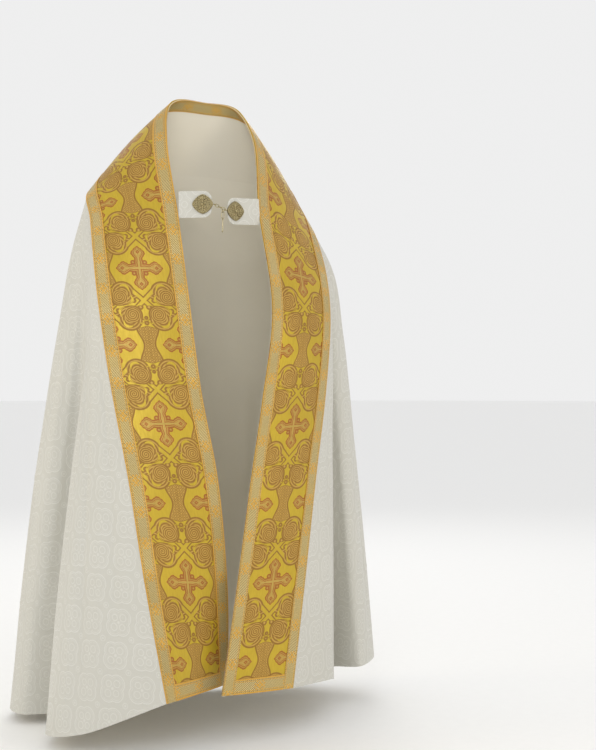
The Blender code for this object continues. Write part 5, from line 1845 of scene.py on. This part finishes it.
@dataclass
class Morse:
    """The clasp: two cloth tabs with metal plates, and the chain between them."""

    height: float = 0.062
    thickness: float = 0.0030
    corner: float = 0.020
    clearance: float = 0.0012
    roots: tuple = ((-0.1210, -0.1240, -0.155), (0.0760, -0.1200, -0.164))
    ends: tuple = ((-0.0500, -0.1600, -0.155), (-0.0125, -0.1570, -0.169))
    plate_length: float = 0.050
    plate_height: float = 0.046
    plate_thickness: float = 0.0024
    pointedness: float = 1.35
    overhang: float = 0.0040
    wire: float = 0.00055
    beads: int = 46
    bead_radius: float = 0.00085
    bead_scale: float = 0.875
    boss_radius: float = 0.0031
    knob_radius: float = 0.0011
    knob_reach: float = 0.0045
    rims: tuple[float, float] = (0.95, 0.80)
    # Scrolls of one quarter of a plate: centre, starting angle, turns and radius.
    scrolls: tuple = (((0.0078, 0.0072), 3.6, 1.4, 0.0046), ((0.0142, 0.0034), 2.6, -1.3, 0.0030),
                      ((0.0030, 0.0145), 5.0, 1.3, 0.0028))
    stems: tuple = (((0.004, 0.0), (0.011, 0.0012), (0.019, 0.0004)),
                    ((0.0, 0.004), (0.0010, 0.010), (0.0004, 0.0175)))
    metal_nodes: tuple[str, ...] = ("clasp_ring_right", "clasp_ring_left", "chain_link_1", "chain_link_2",
                                    "chain_link_3", "tail_ring", "tail_link", "tail_pin")

    def frame(self, root: Vector, end: Vector) -> Matrix:
        """Matrix whose X runs along a tab, whose Y is up and whose Z faces the front."""
        along = (end - root).normalized()
        front = along.cross(Vector((0, 0, 1))).normalized()
        if front.y > 0:
            front = -front
        upright = front.cross(along).normalized()
        matrix = Matrix((along, upright, front)).transposed().to_4x4()
        matrix.translation = root + along * self.clearance
        return matrix

    def tab(self, side: Side, frame: Matrix, length: float, damask: Any) -> None:
        """One cloth tab with a softly crowned face and a rounded end."""
        s = length * (1 - (1 - np.linspace(0, 1, 31)) ** 1.6)
        past = np.clip((s - (length - self.corner)) / self.corner, 0, 1)
        half = self.height / 2 - self.corner + self.corner * np.sqrt(1 - past ** 2)
        y = np.linspace(-1, 1, 25)[None] * half[:, None]
        rim = np.minimum(np.abs(np.abs(y) - half[:, None]), np.abs(length - s)[:, None])
        crown = self.thickness - 0.0009 * np.exp(-(rim / 0.0022) ** 2) + 0.0004 * np.cos(y * 140)
        crown -= 0.0004 * np.exp(-((rim - 0.0050) / 0.0007) ** 2)
        matrix = np.array(frame)
        places = np.stack([np.broadcast_to(s[:, None], y.shape), y, crown], axis=-1)
        points = places @ matrix[:3, :3].T + matrix[:3, 3]
        front = np.broadcast_to(matrix[:3, 2], points.shape)
        cloth = Cloth(points, front, places[:, :, :2])
        tab = cloth.piece(f"tab_{side.value}", "damask", damask, [f"morse_tab_{side.value}"], 0.0,
                          self.thickness - 0.0010)

    def ring(self, scale: float, steps: int) -> list[tuple[float, float]]:
        """The plate's lozenge outline, drawn in by a scale."""
        angles = [2 * math.pi * i / steps for i in range(steps)]
        sizes = ((math.cos, self.plate_length / 2), (math.sin, self.plate_height / 2))
        return [tuple(math.copysign(abs(wave(angle)) ** self.pointedness, wave(angle)) * half * scale
                      for wave, half in sizes) for angle in angles]

    @staticmethod
    def scroll(centre: tuple[float, float], start: float, turns: float,
               radius: float) -> list[tuple[float, float]]:
        """A spiral that winds in from its outer end."""
        line = []
        for i in range(22):
            share = i / 21
            angle = start + 2 * math.pi * turns * share
            reach = radius * (1 - 0.80 * share)
            line.append((centre[0] + reach * math.cos(angle), centre[1] + reach * math.sin(angle)))
        return line

    def filigree(self, side: Side, matrix: Matrix, brass: Any) -> None:
        """The raised scrolls, rims, beads and boss on one plate."""
        face = self.plate_thickness + self.wire * 0.6
        curve = bpy.data.curves.new("scrollwork", "CURVE")
        curve.dimensions = "3D"
        curve.bevel_depth = self.wire
        curve.bevel_resolution = 1
        quarter = [self.scroll(*scroll) for scroll in self.scrolls] + list(self.stems)
        lines = [([(sx * x, sy * y) for x, y in line], False)
                 for line in quarter for sx in (1, -1) for sy in (1, -1)]
        lines += [(self.ring(scale, 72), True) for scale in self.rims]
        for line, closed in lines:
            spline = curve.splines.new("POLY")
            spline.points.add(len(line) - 1)
            for point, (x, y) in zip(spline.points, line):
                point.co = (x, y, face, 1.0)
            spline.use_cyclic_u = closed
        curve.use_fill_caps = True
        choose(add_object("scrollwork", curve))
        bpy.ops.object.convert(target="MESH")
        solids = [bpy.context.active_object]
        for x, y in self.ring(self.bead_scale, self.beads):
            bpy.ops.mesh.primitive_ico_sphere_add(subdivisions=1, radius=self.bead_radius,
                                                  location=(x, y, face))
            solids.append(bpy.context.active_object)
        angles = [math.pi / 4 * i for i in range(8)]
        knobs = [(0.0, 0.0, self.boss_radius, 20, 10)]
        reach = self.knob_reach
        knobs += [(reach * math.cos(angle), reach * math.sin(angle), self.knob_radius, 10, 6) for angle in angles]
        for x, y, radius, segments, rings in knobs:
            bpy.ops.mesh.primitive_uv_sphere_add(segments=segments, ring_count=rings, radius=radius,
                                                 location=(x, y, face))
            solids.append(bpy.context.active_object)
        choose(*solids)
        bpy.ops.object.transform_apply(location=True, rotation=True, scale=True)
        bpy.ops.object.join()
        plate = bpy.context.active_object
        plate.data.transform(matrix)
        plate.data.shade_smooth()
        dress(plate, brass)
        ride(plate, f"filigree_{side.value}")

    def build(self, damask: Any, brass: Any, dark: Any) -> None:
        """Build the tabs and filigree, and dress the plates, rings, links and tail."""
        for side, root, end in zip(Side, self.roots, self.ends):
            start, finish = Vector(root), Vector(end)
            frame = self.frame(start, finish)
            length = (finish - start).length - self.clearance
            self.tab(side, frame, length, damask)
            lift = self.thickness + SEAM_GAP
            middle = length + self.overhang - self.plate_length / 2
            self.filigree(side, frame @ Matrix.Translation((middle, 0, lift)), brass)
            dress(bpy.data.objects[f"clasp_{side.value}"], dark)
        for name in self.metal_nodes:
            dress(bpy.data.objects[name], brass)


def main() -> None:
    """Build the cope's looks in order."""
    logging.basicConfig(level=logging.INFO, format="%(name)s: %(message)s")
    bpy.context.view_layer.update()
    Studio().build()
    drape = Drape.from_stations(BAND)
    damask, satin, trim, bullion = Damask().make(), Satin().make(), Galloon().make(), Bullion().make()
    Cloak(drape).build(damask, satin)
    Orphrey(drape).build(Brocade().make(), satin, trim)
    sheet = HoodSheet(drape)
    picture = Picture(sheet).build()
    Hood(sheet).build(Lame().make(), trim, bullion, picture)
    brass = Metal().make()
    dark = Metal("dark_brass", (0.30, 0.24, 0.12), (0.045, 0.035, 0.018)).make()
    Morse().build(damask, brass, dark)


if __name__ == "__main__":
    main()
